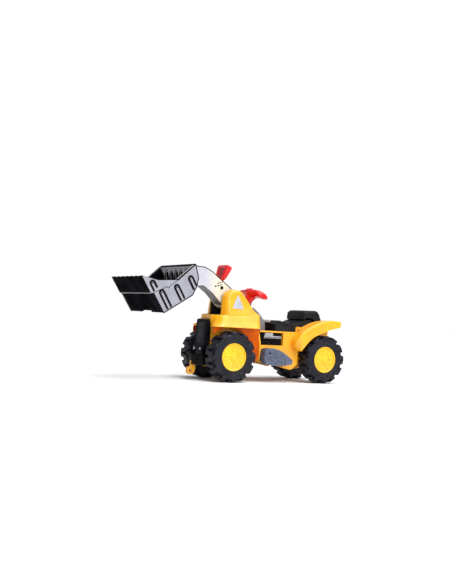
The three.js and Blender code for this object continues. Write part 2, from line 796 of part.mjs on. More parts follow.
// Drop arm at the foot of the column: a fork around the tie rod's peg.
function steering() {
  const footZ = -6;
  const foot = [columnX(footZ), 0, footZ];
  add("steering_shaft", barBetween(foot, onColumn(-4), COLUMN_R, 16), STEEL);
  const reach = (columnX(footZ) - TIE_ROD_X) / cos(RAKE);
  const drop = (along, back, y) => [
    foot[0] - along * sin(RAKE) - back * cos(RAKE),
    y,
    foot[2] + along * cos(RAKE) - back * sin(RAKE),
  ];
  const plate = hull(
    [4, 11].flatMap((along) => [
      ...[-10, 10].flatMap((y) => [drop(along, -9, y), drop(along, 6, y)]),
      ...[-9, 9].map((y) => drop(along, reach + 7, y)),
    ]),
  );
  const fork = hull(
    [-2, 20].flatMap((along) => [
      ...[-1, 1].map((s) => s * (LINK_PIN_R + RUN + PEG_SWING)).flatMap((y) => [
        drop(along, reach - 9, y),
        drop(along, reach + 12, y),
      ]),
    ]),
  );
  const bore = barBetween(drop(-5, 0, 0), drop(30, 0, 0), COLUMN_R + PRESS, 16);
  add("drop_arm", cut(plate, fork, bore), BLACK);

  const stem = barBetween(onColumn(-44), onColumn(0), 15, 18);
  const hub = hull(
    [-30, 30].flatMap((y) => [
      onColumn(-14, 30, y),
      onColumn(8, 34, y),
      onColumn(20, 10, y),
      onColumn(18, -20, y),
      onColumn(-2, -36, y),
      onColumn(-16, -30, y),
    ]),
  );
  const grips = SIDES.map(([, side]) =>
    hull([
      ...[
        [-13, 28],
        [8, 33],
        [19, 10],
        [15, -22],
        [-2, -35],
        [-16, -28],
      ].map(([along, across]) => onColumn(along, across, side * 26)),
      ...[
        [-12, 22],
        [4, 27],
        [11, 4],
        [6, -26],
        [-8, -36],
        [-17, -22],
      ].map(([along, across]) => onColumn(along, across, side * (BAR_HALF_W - 12))),
      ...[
        [-8, 14],
        [2, 14],
        [0, -24],
        [-10, -24],
      ].map(([along, across]) => onColumn(along, across, side * BAR_HALF_W)),
    ]),
  );
  const socket = barBetween(onColumn(-60), onColumn(-3), COLUMN_R + PRESS, 16);
  add("handlebar", cut(joined(stem, hub, ...grips), socket), RED);
}

// ---------------------------------------------------------------- loader arm
const fromArm = (corners) => shift(corners, ARM_X, ARM_Z);
// Across the bucket's pivot, from the middle outwards: the rod's ears, the arm's tongues and the
// bucket's lugs, with a gap between each two.
const EAR_Y = [6.5, 12.5];
const TONGUE_IN = EAR_Y[1] + 2;
const LUG_OUT = ARM_HALF_W - 1;
const SHARE = (LUG_OUT - TONGUE_IN - 1.5) / 22;
const TONGUE_Y = [TONGUE_IN, TONGUE_IN + 10 * SHARE];
const LUG_Y = [LUG_OUT - 12 * SHARE, LUG_OUT];
const [TIP_X, TIP_Z] = [ARM_X + TIP[0], ARM_Z + TIP[1]];
const [LEVER_X, LEVER_Z] = [ARM_X + LEVER[0], ARM_Z + LEVER[1]];
// The push rod crosses from under the lever's pivot to above the bucket's pivot.
const SPAN = hypot(TIP[0] - LEVER[0], TIP[1] - LEVER[1]);
const ROD_ANGLE = atan2(TIP[1] - LEVER[1], TIP[0] - LEVER[0]) + asin((2 * CRANK) / SPAN);
const CRANK_PIN = [LEVER_X + CRANK * sin(ROD_ANGLE), LEVER_Z - CRANK * cos(ROD_ANGLE)];
const EAR_PIN = [TIP_X - CRANK * sin(ROD_ANGLE), TIP_Z + CRANK * cos(ROD_ANGLE)];
const BELLY = [
  [29, -34],
  [87, 21],
  [136, 52],
  [171, 48],
];

function loaderArm() {
  const outline = [
    ...BELLY,
    [182, 136],
    [135, 134],
    [99, 119],
    ...arc(0, 0, ARM_ROOT_R, 118, 310, 14),
  ];
  const outside = prismY(fromArm(outline), -ARM_HALF_W, ARM_HALF_W);
  const inside = prismY(
    fromArm(inset(outline, ARM_WALL)),
    -ARM_HALF_W + ARM_WALL,
    ARM_HALF_W - ARM_WALL,
  );
  const half = ARM_HALF_W - ARM_WALL;
  const bellyRoom = prismY(fromArm(strip(BELLY, ARM_WALL + 1)), -half, half);
  const under = prismY(fromArm(strip(BELLY, -8)).reverse(), -half, half);
  const endWall = prismY(
    fromArm([
      [150, 53 + ARM_WALL],
      [156, 53 + ARM_WALL],
      [156, 134],
      [150, 133],
    ]),
    -half - 1,
    half + 1,
  );
  const tongues = SIDES.map(([, side]) =>
    linkY(
      [
        [TIP_X, TIP_Z, 17],
        [ARM_X + 156, TIP_Z + 10, 4],
        [ARM_X + 156, TIP_Z - 14, 4],
      ],
      side * TONGUE_Y[0],
      side * TONGUE_Y[1],
    ),
  );
  const sweep = THREE.MathUtils.radToDeg(RAKE) + 90;
  const slot = prismY(
    [
      [LEVER_X + 6, LEVER_Z],
      ...arc(LEVER_X, LEVER_Z, 75, sweep - 26, sweep + 58, 8),
      [LEVER_X - 6, LEVER_Z - 4],
    ],
    -9.5,
    9.5,
  );
  const rodRoom = prismY(
    fromArm([
      [140, TIP[1] - 22],
      [170, TIP[1] - 8],
      [170, TIP[1] + 44],
      [140, TIP[1] + 26],
    ]),
    -9.5,
    9.5,
  );
  const mouth = barY(TIP_X, TIP_Z, LUG_R + 3, -60, 60, 28);
  const endRoom = prismY(
    fromArm([
      [156.5, 62],
      [192, 62],
      [192, 129],
      [156.5, 129],
    ]),
    -half,
    half,
  );
  const pins = [
    barY(ARM_X, ARM_Z, PIN_R + RUN, -60, 60),
    barY(TIP_X, TIP_Z, PIN_R + PRESS, -60, 60),
    barY(LEVER_X, LEVER_Z, LEVER_PIN_R + PRESS, -60, 60, 16),
  ];
  const shell = cut(outside, inside, bellyRoom, under, endRoom, mouth);
  add("arm_beam", cut(joined(shell, endWall, ...tongues), slot, rodRoom, ...pins), SILVER);
  add(
    "arm_belly",
    cut(
      prismY(fromArm(strip(BELLY, ARM_WALL)), -half + GAP, half - GAP),
      barY(TIP_X, TIP_Z, LUG_R + 3, -60, 60, 28),
      prismY(fromArm(strip([[20, -50], [40, -30]], 14)), -60, 60),
    ),
    BELLY_GREY,
  );
  add("bucket_pin", barY(TIP_X, TIP_Z, PIN_R, -ARM_HALF_W - 2, ARM_HALF_W + 2), STEEL);
  add("lever_pin", barY(LEVER_X, LEVER_Z, LEVER_PIN_R, -ARM_HALF_W - 2, ARM_HALF_W + 2, 16), STEEL);
}

function lever() {
  const tilt = RAKE - 0.02;
  const at = (along, across = 0) => [
    LEVER_X - along * sin(tilt) + across * cos(tilt),
    LEVER_Z + along * cos(tilt) + across * sin(tilt),
  ];
  const crank = linkY([[...CRANK_PIN, 7], [LEVER_X, LEVER_Z, 11]], -7, 7);
  const blade = (extra) =>
    linkY([[LEVER_X, LEVER_Z, 11 + extra], [...at(84), 8 + extra]], -7 - extra, 7 + extra);
  const bores = [
    barY(LEVER_X, LEVER_Z, LEVER_PIN_R + RUN, -20, 20, 16),
    barY(...CRANK_PIN, LINK_PIN_R + PRESS, -20, 20, 14),
    linkY([[...CRANK_PIN, 9], [CRANK_PIN[0] + 30, CRANK_PIN[1] + 10, 16]], -3.6, 3.6),
  ];
  add("lever_shank", cut(joined(crank, blade(0)), ...bores), BLACK);
  const corner = (along, across, y) => {
    const [x, z] = at(along, across);
    return [x, y, z];
  };
  const grip = hull(
    [-1, 1].flatMap((s) => [
      corner(56, -13, s * 26),
      corner(56, 12, s * 26),
      corner(102, -22, s * 46),
      corner(113, -18, s * 46),
      corner(113, 14, s * 46),
      corner(106, 18, s * 46),
    ]),
  );
  const recess = hull(
    [-1, 1].flatMap((s) => [
      corner(66, 12, s * 22),
      corner(66, 22, s * 22),
      corner(104, 15, s * 36),
      corner(104, 30, s * 36),
    ]),
  );
  add("lever_grip", cut(grip, recess, blade(0.4)), RED);
  add("crank_pin", barY(...CRANK_PIN, LINK_PIN_R, -9, 9, 14), STEEL);

  const rod = linkY([[...CRANK_PIN, 4], [...EAR_PIN, 4]], -2.5, 2.5);
  const nearEye = barY(...CRANK_PIN, 6, -3, 3, 16);
  const farEye = barY(...EAR_PIN, 8.5, -3, 3, 20);
  const across = (d) => [EAR_PIN[0] - d * sin(ROD_ANGLE), EAR_PIN[1] + d * cos(ROD_ANGLE)];
  const slot = linkY(
    [-EYE_PLAY, EYE_PLAY].map((d) => [...across(d), LINK_PIN_R + RUN]),
    -9,
    9,
  );
  const bore = barY(...CRANK_PIN, LINK_PIN_R + RUN, -9, 9, 14);
  add("push_rod", cut(joined(rod, nearEye, farEye), slot, bore), STEEL);
}

// ---------------------------------------------------------------- bucket
const fromTip = (corners) => shift(corners, TIP_X, TIP_Z);
const CHEEK = [
  TOOTH_TIP,
  [223, -44],
  [128, -37],
  [48, 38],
  [32, -21],
  [38, -57],
  [56, -95],
  [188, -180],
  [239, -98],
  [251, -99],
];

function bucket() {
  const half = BUCKET_HALF_W - CHEEK_T - 0.4;
  const outer = [
    [280, -32],
    [223, -44],
    [128, -37],
    [48, 38],
    [32, -21],
    [38, -57],
    [56, -95],
    [176, -172],
    [194, -170],
  ];
  const room = inset(outer, BUCKET_WALL);
  const cavity = [
    [room[0][0] + 25, room[0][1] + 40],
    [room[3][0], 80],
    ...room.slice(3),
  ];
  const shell = cut(
    prismY(fromTip(outer), -half, half),
    prismY(fromTip(cavity), -half + BUCKET_WALL, half - BUCKET_WALL),
  );
  const feet = SIDES.map(([, side]) =>
    prismY(
      fromTip([
        [170, -168],
        [188, -180, 4],
        [196, -167],
      ]),
      side * 52,
      side * half,
    ),
  );
  const ribs = [-120, -72, -24, 24, 72, 120].map((y) =>
    prismY(
      fromTip([
        [50, 26],
        [36, -21],
        [42, -57],
        [60, -92],
        [66, -84],
        [50, -52],
        [45, -20],
        [56, 22],
      ]),
      y - 5,
      y + 5,
    ),
  );
  const lugs = SIDES.flatMap(([, side]) => [
    linkY(
      [
        [TIP_X, TIP_Z, LUG_R],
        [TIP_X + 42, TIP_Z + 10, 4],
        [TIP_X + 36, TIP_Z - 36, 3],
      ],
      side * LUG_Y[0],
      side * LUG_Y[1],
    ),
    linkY(
      [
        [TIP_X, TIP_Z, 12],
        [...EAR_PIN, 7.5],
        [TIP_X + 42, TIP_Z + 14, 3],
        [TIP_X + 36, TIP_Z - 20, 3],
      ],
      side * EAR_Y[0],
      side * EAR_Y[1],
    ),
  ]);
  const pins = [
    barY(TIP_X, TIP_Z, PIN_R + RUN, -60, 60),
    barY(...EAR_PIN, LINK_PIN_R + PRESS, -20, 20, 14),
  ];
  add("bucket", cut(joined(shell, ...feet, ...ribs, ...lugs), ...pins), BLACK);
  add("ear_pin", barY(...EAR_PIN, LINK_PIN_R, -13.5, 13.5, 14), STEEL);

  const along = [0.543, 0.84];
  const back = (t, d) => [
    TOOTH_TIP[0] - along[0] * t - along[1] * d,
    TOOTH_TIP[1] - along[1] * t + along[0] * d,
  ];
  const bladeDepth = 81;
  const bladeSide = [
    back(0, 0),
    back(0, 4),
    back(8, BLADE_T),
    back(bladeDepth, BLADE_T),
    back(bladeDepth, 0),
  ];
  const blade = prismY(fromTip(bladeSide), -half, half);
  const pitch = (2 * half) / TEETH;
  const notches = Array.from({ length: TEETH - 1 }, (_, i) => {
    const y = -half + pitch * (i + 1);
    const near = fromTip([back(-6, -3)])[0];
    const far = fromTip([back(-6, BLADE_T + 6)])[0];
    const lowNear = fromTip([back(TOOTH_DEPTH, -3)])[0];
    const lowFar = fromTip([back(TOOTH_DEPTH, BLADE_T + 6)])[0];
    return hull([
      ...[near, far].flatMap(([x, z]) => [[x, y - 14, z], [x, y + 14, z]]),
      ...[lowNear, lowFar].flatMap(([x, z]) => [[x, y - 6, z], [x, y + 6, z]]),
    ]);
  });
  add("bucket_blade", cut(blade, ...notches), BLACK);

  // Arch-shaped slots in the cheeks, each around a tongue.
  const arches = [
    [252, -52, 30],
    [206, -88, 62],
    [136, -62, 66],
    [72, -18, 58],
  ];
  const down = [-0.528, -0.849];
  const aside = [0.849, -0.528];
  const place = ([x, z], d, s) => [
    x + down[0] * d + aside[0] * s,
    z + down[1] * d + aside[1] * s,
  ];
  for (const [name, side] of SIDES) {
    const y0 = side * (half + 0.4);
    const y1 = side * BUCKET_HALF_W;
    const cheek = prismY(fromTip(CHEEK), y0, y1);
    const through = (corners) => prismY(fromTip(corners), y0 - side * 2, y1 + side * 2);
    const slots = arches.map(([x, z, length]) => {
      const leg = (s0, s1) =>
        through(
          [
            [6, s0],
            [length, s0],
            [length, s1],
            [6, s1],
          ].map(([d, s]) => place([x, z], d, s)),
        );
      const crown = through(
        [
          [6.5, -13],
          [0, -8],
          [0, 8],
          [6.5, 13],
          [9, 5],
          [9, -5],
        ].map(([d, s]) => place([x, z], d, s)),
      );
      return joined(leg(-13, -5), leg(5, 13), crown);
    });
    add("bucket_cheek_" + name, cut(cheek, ...slots), SILVER);
  }
}

chassis();
hood();
console();
grille();
sidePieces();
seat();
fenders();
axles();
steering();
for (const [name, side] of SIDES) {
  wheel("front_" + name, 0, side);
  wheel("rear_" + name, REAR_X, side);
}
loaderArm();
lever();
bucket();

export default digger;
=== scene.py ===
"""A foot-to-floor ride-on loader: the look of every moulded and metal piece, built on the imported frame.

Lengths inside the shape functions are millimetres from the middle of the front axle, +X forward, +Y to the
rider's left, +Z up. place() turns them into the row's metres.
"""

import json
import math

import bmesh
import bpy
import numpy as np
from mathutils import Matrix, Vector

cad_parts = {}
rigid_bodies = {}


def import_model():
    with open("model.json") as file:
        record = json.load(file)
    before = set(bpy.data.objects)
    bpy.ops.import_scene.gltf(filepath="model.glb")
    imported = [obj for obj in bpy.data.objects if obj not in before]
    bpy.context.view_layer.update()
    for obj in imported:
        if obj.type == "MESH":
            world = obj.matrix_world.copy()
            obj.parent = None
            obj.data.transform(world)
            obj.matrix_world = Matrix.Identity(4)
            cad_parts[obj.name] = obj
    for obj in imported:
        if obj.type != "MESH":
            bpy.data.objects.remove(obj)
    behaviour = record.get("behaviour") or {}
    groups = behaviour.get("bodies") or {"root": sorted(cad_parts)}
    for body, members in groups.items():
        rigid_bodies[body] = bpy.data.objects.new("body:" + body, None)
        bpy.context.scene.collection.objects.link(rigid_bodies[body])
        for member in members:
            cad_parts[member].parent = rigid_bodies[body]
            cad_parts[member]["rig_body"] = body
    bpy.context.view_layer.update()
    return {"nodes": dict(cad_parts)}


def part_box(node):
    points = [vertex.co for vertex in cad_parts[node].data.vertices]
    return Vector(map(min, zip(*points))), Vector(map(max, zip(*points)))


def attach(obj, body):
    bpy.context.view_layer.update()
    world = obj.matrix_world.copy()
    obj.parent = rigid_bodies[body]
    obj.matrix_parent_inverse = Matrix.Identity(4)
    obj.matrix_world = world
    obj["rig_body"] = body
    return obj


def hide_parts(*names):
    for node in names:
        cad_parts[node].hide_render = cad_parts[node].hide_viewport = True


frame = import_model()
NODES = frame["nodes"]

# ------------------------------------------------------------------ sizes read from the frame
tyre_low, tyre_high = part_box("tyre_front_left")
rear_low, rear_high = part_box("tyre_rear_left")
AXLE = np.array([(tyre_low.x + tyre_high.x) / 2, 0.0, (tyre_low.z + tyre_high.z) / 2])
TYRE_W = (tyre_high.y - tyre_low.y) * 1000
WHEEL_OUTER_Y = tyre_high.y * 1000
REAR_X = ((rear_low.x + rear_high.x) / 2 - AXLE[0]) * 1000
HUB_R = 63.0
LUGS = 12
BUCKET_PIVOT = np.array([182.0, 359.0])
ARCH_R = 130.0
SIDES = (("left", 1), ("right", -1))


def place(points):
    """Millimetres from the front axle, as metres in the row's frame."""
    return AXLE + np.asarray(points, float) / 1000


# ------------------------------------------------------------------ shader groups shared by the finishes
def shader_group(name, inputs, outputs):
    """An empty node group with named sockets; inputs are (kind, name, default)."""
    tree = bpy.data.node_groups.new(name, "ShaderNodeTree")
    for kind, label, default in inputs:
        socket = tree.interface.new_socket(label, in_out="INPUT", socket_type="NodeSocket" + kind)
        if default is not None:
            socket.default_value = default
    for label in outputs:
        tree.interface.new_socket(label, in_out="OUTPUT", socket_type="NodeSocketFloat")
    return tree, tree.nodes.new("NodeGroupInput"), tree.nodes.new("NodeGroupOutput")


def math_node(tree, operation, *values):
    """One sum on sockets or plain numbers; returns its output."""
    node = tree.nodes.new("ShaderNodeMath")
    node.operation = operation
    for socket, value in zip(node.inputs, values):
        if isinstance(value, (int, float)):
            socket.default_value = value
        else:
            tree.links.new(value, socket)
    return node.outputs[0]


def ranged(tree, value, low, high, to_low=0.0, to_high=1.0):
    """value's stretch low..high, eased into to_low..to_high."""
    node = tree.nodes.new("ShaderNodeMapRange")
    node.interpolation_type = "SMOOTHSTEP"
    for label, number in (
        ("From Min", low),
        ("From Max", high),
        ("To Min", to_low),
        ("To Max", to_high),
    ):
        node.inputs[label].default_value = number
    tree.links.new(value, node.inputs["Value"])
    return node.outputs["Result"]


def noise_node(tree, vector, scale, detail=3.0, roughness=0.6):
    """Soft noise at a fixed or linked scale."""
    node = tree.nodes.new("ShaderNodeTexNoise")
    node.inputs["Detail"].default_value = detail
    node.inputs["Roughness"].default_value = roughness
    tree.links.new(vector, node.inputs["Vector"])
    if isinstance(scale, (int, float)):
        node.inputs["Scale"].default_value = scale
    else:
        tree.links.new(scale, node.inputs["Scale"])
    return node.outputs[0]


def build_grain():
    """Spark-eroded mould grain: fine noise and small pits make the height, slow noise the colour mottle."""
    inputs = [("Vector", "Vector", None), ("Float", "Grain scale", 900.0), ("Float", "Mottle scale", 14.0)]
    tree, get, put = shader_group("moulding_grain", inputs, ["Height", "Mottle"])
    fine = noise_node(tree, get.outputs["Vector"], get.outputs["Grain scale"], 4.0, 0.65)
    pits = tree.nodes.new("ShaderNodeTexVoronoi")
    pits.feature = "SMOOTH_F1"
    tree.links.new(get.outputs["Vector"], pits.inputs["Vector"])
    tree.links.new(get.outputs["Grain scale"], pits.inputs["Scale"])
    slow = noise_node(tree, get.outputs["Vector"], get.outputs["Mottle scale"], 5.0, 0.55)
    height = math_node(tree, "ADD", fine, math_node(tree, "MULTIPLY", pits.outputs["Distance"], 0.6))
    tree.links.new(height, put.inputs["Height"])
    tree.links.new(ranged(tree, slow, 0.36, 0.64), put.inputs["Mottle"])
    return tree


def build_edge_wear():
    """Rubbed edges: where the surface is sharply convex, broken up by noise, times the amount."""
    inputs = [("Vector", "Vector", None), ("Float", "Amount", 0.5), ("Float", "Patch scale", 60.0)]
    tree, get, put = shader_group("edge_wear", inputs, ["Mask"])
    geometry = tree.nodes.new("ShaderNodeNewGeometry")
    convex = ranged(tree, geometry.outputs["Pointiness"], 0.51, 0.58)
    breaks = noise_node(tree, get.outputs["Vector"], get.outputs["Patch scale"], 6.0)
    patches = ranged(tree, breaks, 0.4, 0.62)
    mask = math_node(tree, "MULTIPLY", convex, patches)
    tree.links.new(math_node(tree, "MULTIPLY", mask, get.outputs["Amount"]), put.inputs["Mask"])
    return tree


def build_dust():
    """Settled dust: on faces that look up and low down near the floor, both broken up by noise."""
    inputs = [("Vector", "Vector", None), ("Float", "Amount", 0.3), ("Float", "Splash", 0.3)]
    tree, get, put = shader_group("settled_dust", inputs, ["Mask"])
    geometry = tree.nodes.new("ShaderNodeNewGeometry")
    split = tree.nodes.new("ShaderNodeSeparateXYZ")
    tree.links.new(geometry.outputs["Normal"], split.inputs[0])
    up = ranged(tree, split.outputs["Z"], 0.55, 1.0)
    where = tree.nodes.new("ShaderNodeSeparateXYZ")
    tree.links.new(get.outputs["Vector"], where.inputs[0])
    low = ranged(tree, where.outputs["Z"], 0.13, 0.01)
    speckle = ranged(tree, noise_node(tree, get.outputs["Vector"], 45.0, 8.0, 0.7), 0.38, 0.68)
    fallen = math_node(tree, "MULTIPLY", up, get.outputs["Amount"])
    thrown = math_node(tree, "MULTIPLY", low, get.outputs["Splash"])
    mask = math_node(tree, "MULTIPLY", math_node(tree, "MAXIMUM", fallen, thrown), speckle)
    tree.links.new(mask, put.inputs["Mask"])
    return tree


def build_scuffs():
    """Fine handling scratches: two stretched noises at different slants, thresholded to hairlines."""
    inputs = [("Vector", "Vector", None), ("Float", "Amount", 0.5)]
    tree, get, put = shader_group("handling_scuffs", inputs, ["Mask"])
    lines = []
    for turn, stretch in ((0.5, (9, 260, 60)), (-0.9, (240, 14, 90))):
        lay = tree.nodes.new("ShaderNodeMapping")
        lay.inputs["Rotation"].default_value = (turn, turn * 0.6, turn * 1.3)
        lay.inputs["Scale"].default_value = stretch
        tree.links.new(get.outputs["Vector"], lay.inputs["Vector"])
        lines.append(ranged(tree, noise_node(tree, lay.outputs[0], 1.0, 2.0), 0.66, 0.74))
    mask = math_node(tree, "MULTIPLY", math_node(tree, "MAXIMUM", *lines), get.outputs["Amount"])
    tree.links.new(mask, put.inputs["Mask"])
    return tree


GRAIN = build_grain()
EDGE_WEAR = build_edge_wear()
DUST = build_dust()
SCUFFS = build_scuffs()
DUST_COLOUR = (0.36, 0.33, 0.29, 1.0)


def use_group(tree, group, vector, **values):
    """One placed copy of a shared group, with its own values."""
    node = tree.nodes.new("ShaderNodeGroup")
    node.node_tree = group
    tree.links.new(vector, node.inputs["Vector"])
    for label, value in values.items():
        node.inputs[label.replace("_", " ")].default_value = value
    return node


def mixed(tree, mask, first, second):
    """first where the mask is 0, second where it is 1; each a colour or a socket."""
    node = tree.nodes.new("ShaderNodeMix")
    node.data_type = "RGBA"
    tree.links.new(mask, node.inputs["Factor"])
    for socket, value in ((node.inputs[6], first), (node.inputs[7], second)):
        if isinstance(value, tuple):
            socket.default_value = value
        else:
            tree.links.new(value, socket)
    return node.outputs[2]


def finish(
    name,
    colour,
    shade,
    roughness,
    worn=None,
    wear=0.35,
    dust=0.12,
    splash=0.25,
    grain=900.0,
    depth=0.00012,
    mottle=14.0,
    metallic=0.0,
    coat=0.0,
    fade=None,
    specular=0.5,
):
    """A moulded or metal finish: two tones mottled together, rubbed edges, dust, scuffs and grain.

    fade is (axis, from, to, colour): a slow change of tone along one axis of the row's frame.
    """
    material = bpy.data.materials.new(name)
    material.use_nodes = True
    tree = material.node_tree
    shader = tree.nodes["Principled BSDF"]
    where = tree.nodes.new("ShaderNodeTexCoord").outputs["Object"]
    skin = use_group(tree, GRAIN, where, Grain_scale=grain, Mottle_scale=mottle)
    rub = use_group(tree, EDGE_WEAR, where, Amount=wear)
    film = use_group(tree, DUST, where, Amount=dust, Splash=splash)
    marks = use_group(tree, SCUFFS, where, Amount=0.5)
    tone = mixed(tree, skin.outputs["Mottle"], (*colour, 1.0), (*shade, 1.0))
    if fade:
        axis, start, end, second = fade
        split = tree.nodes.new("ShaderNodeSeparateXYZ")
        tree.links.new(where, split.inputs[0])
        tone = mixed(tree, ranged(tree, split.outputs[axis], start, end), tone, (*second, 1.0))
    worn = worn or tuple(0.8 * c + 0.07 for c in colour)
    tone = mixed(tree, rub.outputs["Mask"], tone, (*worn, 1.0))
    tone = mixed(tree, film.outputs["Mask"], tone, DUST_COLOUR)
    tree.links.new(tone, shader.inputs["Base Color"])
    rough = math_node(tree, "MULTIPLY_ADD", skin.outputs["Mottle"], 0.10, roughness - 0.05)
    rough = math_node(tree, "MULTIPLY_ADD", marks.outputs["Mask"], 0.25, rough)
    rough = math_node(tree, "MULTIPLY_ADD", film.outputs["Mask"], 0.4, rough)
    tree.links.new(rough, shader.inputs["Roughness"])
    shader.inputs["Metallic"].default_value = metallic
    shader.inputs["Coat Weight"].default_value = coat
    shader.inputs["Coat Roughness"].default_value = 0.12
    shader.inputs["Specular IOR Level"].default_value = specular
    bump = tree.nodes.new("ShaderNodeBump")
    bump.inputs["Strength"].default_value = 0.5
    bump.inputs["Distance"].default_value = depth
    height = math_node(tree, "SUBTRACT", skin.outputs["Height"], marks.outputs["Mask"])
    tree.links.new(height, bump.inputs["Height"])
    tree.links.new(bump.outputs["Normal"], shader.inputs["Normal"])
    return material


BODY_YELLOW = finish("body_yellow", (0.93, 0.43, 0.006), (0.88, 0.37, 0.005), 0.34, coat=0.15)
# Painted shade: deep orange on the skirt under the hood's crease, standing for the shade under the brim on
# the yellow moulding.
PAINTED_SHADE_ORANGE = finish(
    "shaded_orange", (0.62, 0.10, 0.0), (0.46, 0.06, 0.0), 0.42, dust=0.0, splash=0.0, specular=0.12
)
HUB_YELLOW = finish("hub_yellow", (0.96, 0.56, 0.010), (0.90, 0.47, 0.008), 0.40, splash=0.3)
BLACK = finish(
    "black_plastic", (0.003, 0.003, 0.004), (0.006, 0.006, 0.008), 0.34, worn=(0.022, 0.022, 0.025),
    dust=0.0, splash=0.03, specular=0.05
)
BUCKET_BLACK = finish(
    "bucket_black", (0.004, 0.004, 0.005), (0.009, 0.009, 0.011), 0.5, worn=(0.03, 0.03, 0.033),
    dust=0.0, splash=0.0, specular=0.0
)
# Painted shadow: a flat unlit black for the shade inside the hood's slot.
SLOT_SHADOW_BLACK = finish("slot_painted_shadow", (0.003, 0.003, 0.003), (0.005, 0.005, 0.005), 0.7, wear=0.0, dust=0.0)
TYRE_BLACK = finish(
    "tyre_black", (0.006, 0.006, 0.010), (0.012, 0.012, 0.019), 0.42, worn=(0.035, 0.035, 0.055),
    wear=0.6, dust=0.0, splash=0.03, grain=500.0, depth=0.0003, specular=0.2,
)
CHARCOAL = finish(
    "charcoal_plastic", (0.010, 0.010, 0.012), (0.016, 0.016, 0.019), 0.40, worn=(0.05, 0.05, 0.055),
    dust=0.0, specular=0.1
)
GREY = finish("grey_plastic", (0.17, 0.17, 0.18), (0.14, 0.14, 0.15), 0.5)
STEP_GREY = finish(
    "step_grey", (0.10, 0.12, 0.19), (0.055, 0.065, 0.11), 0.55, mottle=90.0, grain=420.0, depth=0.0004
)
# The fade paints a cream tint on the arm towards its root by the hood: a painted reflection of light off the
# yellow hood.
SILVER = finish(
    "silver_plastic", (0.58, 0.58, 0.64), (0.50, 0.50, 0.56), 0.36, metallic=0.12, grain=1500.0,
    fade=(0, 0.19, 0.09, (0.80, 0.72, 0.55)),
)
CHEEK_SILVER = finish(
    "cheek_silver", (0.33, 0.33, 0.38), (0.27, 0.27, 0.31), 0.40, metallic=0.12, grain=1500.0
)
# Painted shade: the arm's underside cover is coloured dark brown-grey for the shade under the silver arm.
BELLY_SHADE_GREY = finish("belly_grey", (0.075, 0.060, 0.062), (0.055, 0.045, 0.046), 0.45, dust=0.02)
RED = finish(
    "red_plastic", (0.72, 0.004, 0.008), (0.60, 0.002, 0.004), 0.26, wear=0.0, dust=0.0, splash=0.0,
    depth=0.000004,
)
DEEP_RED = finish("deep_red", (0.36, 0.004, 0.006), (0.30, 0.003, 0.005), 0.36)
CHROME = finish(
    "chrome", (0.30, 0.30, 0.33), (0.22, 0.22, 0.25), 0.2, metallic=1.0, grain=2200.0, depth=0.00003
)
STEEL = finish("steel", (0.42, 0.43, 0.45), (0.34, 0.35, 0.37), 0.3, metallic=1.0, grain=1800.0)
DECAL_SILVER = finish("decal_silver", (0.52, 0.54, 0.58), (0.40, 0.42, 0.47), 0.3, wear=0.5, grain=1800.0)
# Pale grey for trim, and for painted highlights and reflections on the black bucket and seat.
HIGHLIGHT_AND_TRIM_GREY = finish("highlight_and_trim_grey", (0.42, 0.42, 0.44), (0.34, 0.34, 0.36), 0.42)


# ------------------------------------------------------------------ surfaces worked out with numpy
def full_turn(count):
    """Evenly spaced angles once round, the last one short of the first."""
    return np.linspace(0, 2 * np.pi, count, endpoint=False)


def squared_off(wave, power):
    """A cosine or sine raised towards 1 or -1, which turns a circle into a rounded square."""
    return np.sign(wave) * np.abs(wave) ** power


def smoothed(values, reach, **ends):
    """A running mean over reach places each way; ends says how the line goes on past its two ends."""
    count = 2 * reach + 1
    return np.convolve(np.pad(values, reach, **ends), np.ones(count) / count, "valid")


def disc(u, v, radius, count):
    """A round outline about (u, v)."""
    turn = full_turn(count)
    return np.stack([u + radius * np.cos(turn), v + radius * np.sin(turn)], 1)


def corner_curve(corners, steps=6):
    """Closed outline: each corner (u, v, r) becomes a quadratic curve that leaves its sides r from it."""
    data = np.array(corners, float)
    points, reach = data[:, :2], data[:, 2]
    before, after = np.roll(points, 1, 0), np.roll(points, -1, 0)
    to_before, to_after = before - points, after - points
    far_before = np.linalg.norm(to_before, axis=1)
    far_after = np.linalg.norm(to_after, axis=1)
    reach = np.clip(reach, 0.02, 0.48 * np.minimum(far_before, far_after))[:, None]
    start = points + to_before / far_before[:, None] * reach
    end = points + to_after / far_after[:, None] * reach
    t = np.linspace(0, 1, steps)[None, :, None]
    curve = (1 - t) ** 2 * start[:, None] + 2 * t * (1 - t) * points[:, None] + t**2 * end[:, None]
    return curve.reshape(-1, 2)


def grown(outline, distance):
    """A closed outline moved outwards by distance along its own normals, mitred at the corners."""
    before, after = outline - np.roll(outline, 1, 0), np.roll(outline, -1, 0) - outline
    before /= np.linalg.norm(before, axis=1)[:, None] + 1e-9
    after /= np.linalg.norm(after, axis=1)[:, None] + 1e-9
    n, m = (np.stack([d[:, 1], -d[:, 0]], 1) for d in (before, after))
    u, v = outline.T
    area = np.sum(u * np.roll(v, -1) - np.roll(u, -1) * v)
    lean = np.maximum(1 + np.sum(n * m, axis=1), 0.5)[:, None]
    return outline + np.sign(area) * distance * (n + m) / lean


def grid_faces(rows, columns, wrap_rows=False, wrap_columns=True):
    """Quads of a grid of rows by columns, wrapped round where asked."""
    i = np.arange(rows if wrap_rows else rows - 1)[:, None]
    j = np.arange(columns if wrap_columns else columns - 1)[None, :]
    a = i * columns + j
    b = i * columns + (j + 1) % columns
    c = ((i + 1) % rows) * columns + (j + 1) % columns
    d = ((i + 1) % rows) * columns + j
    return np.stack([a, b, c, d], -1).reshape(-1, 4)


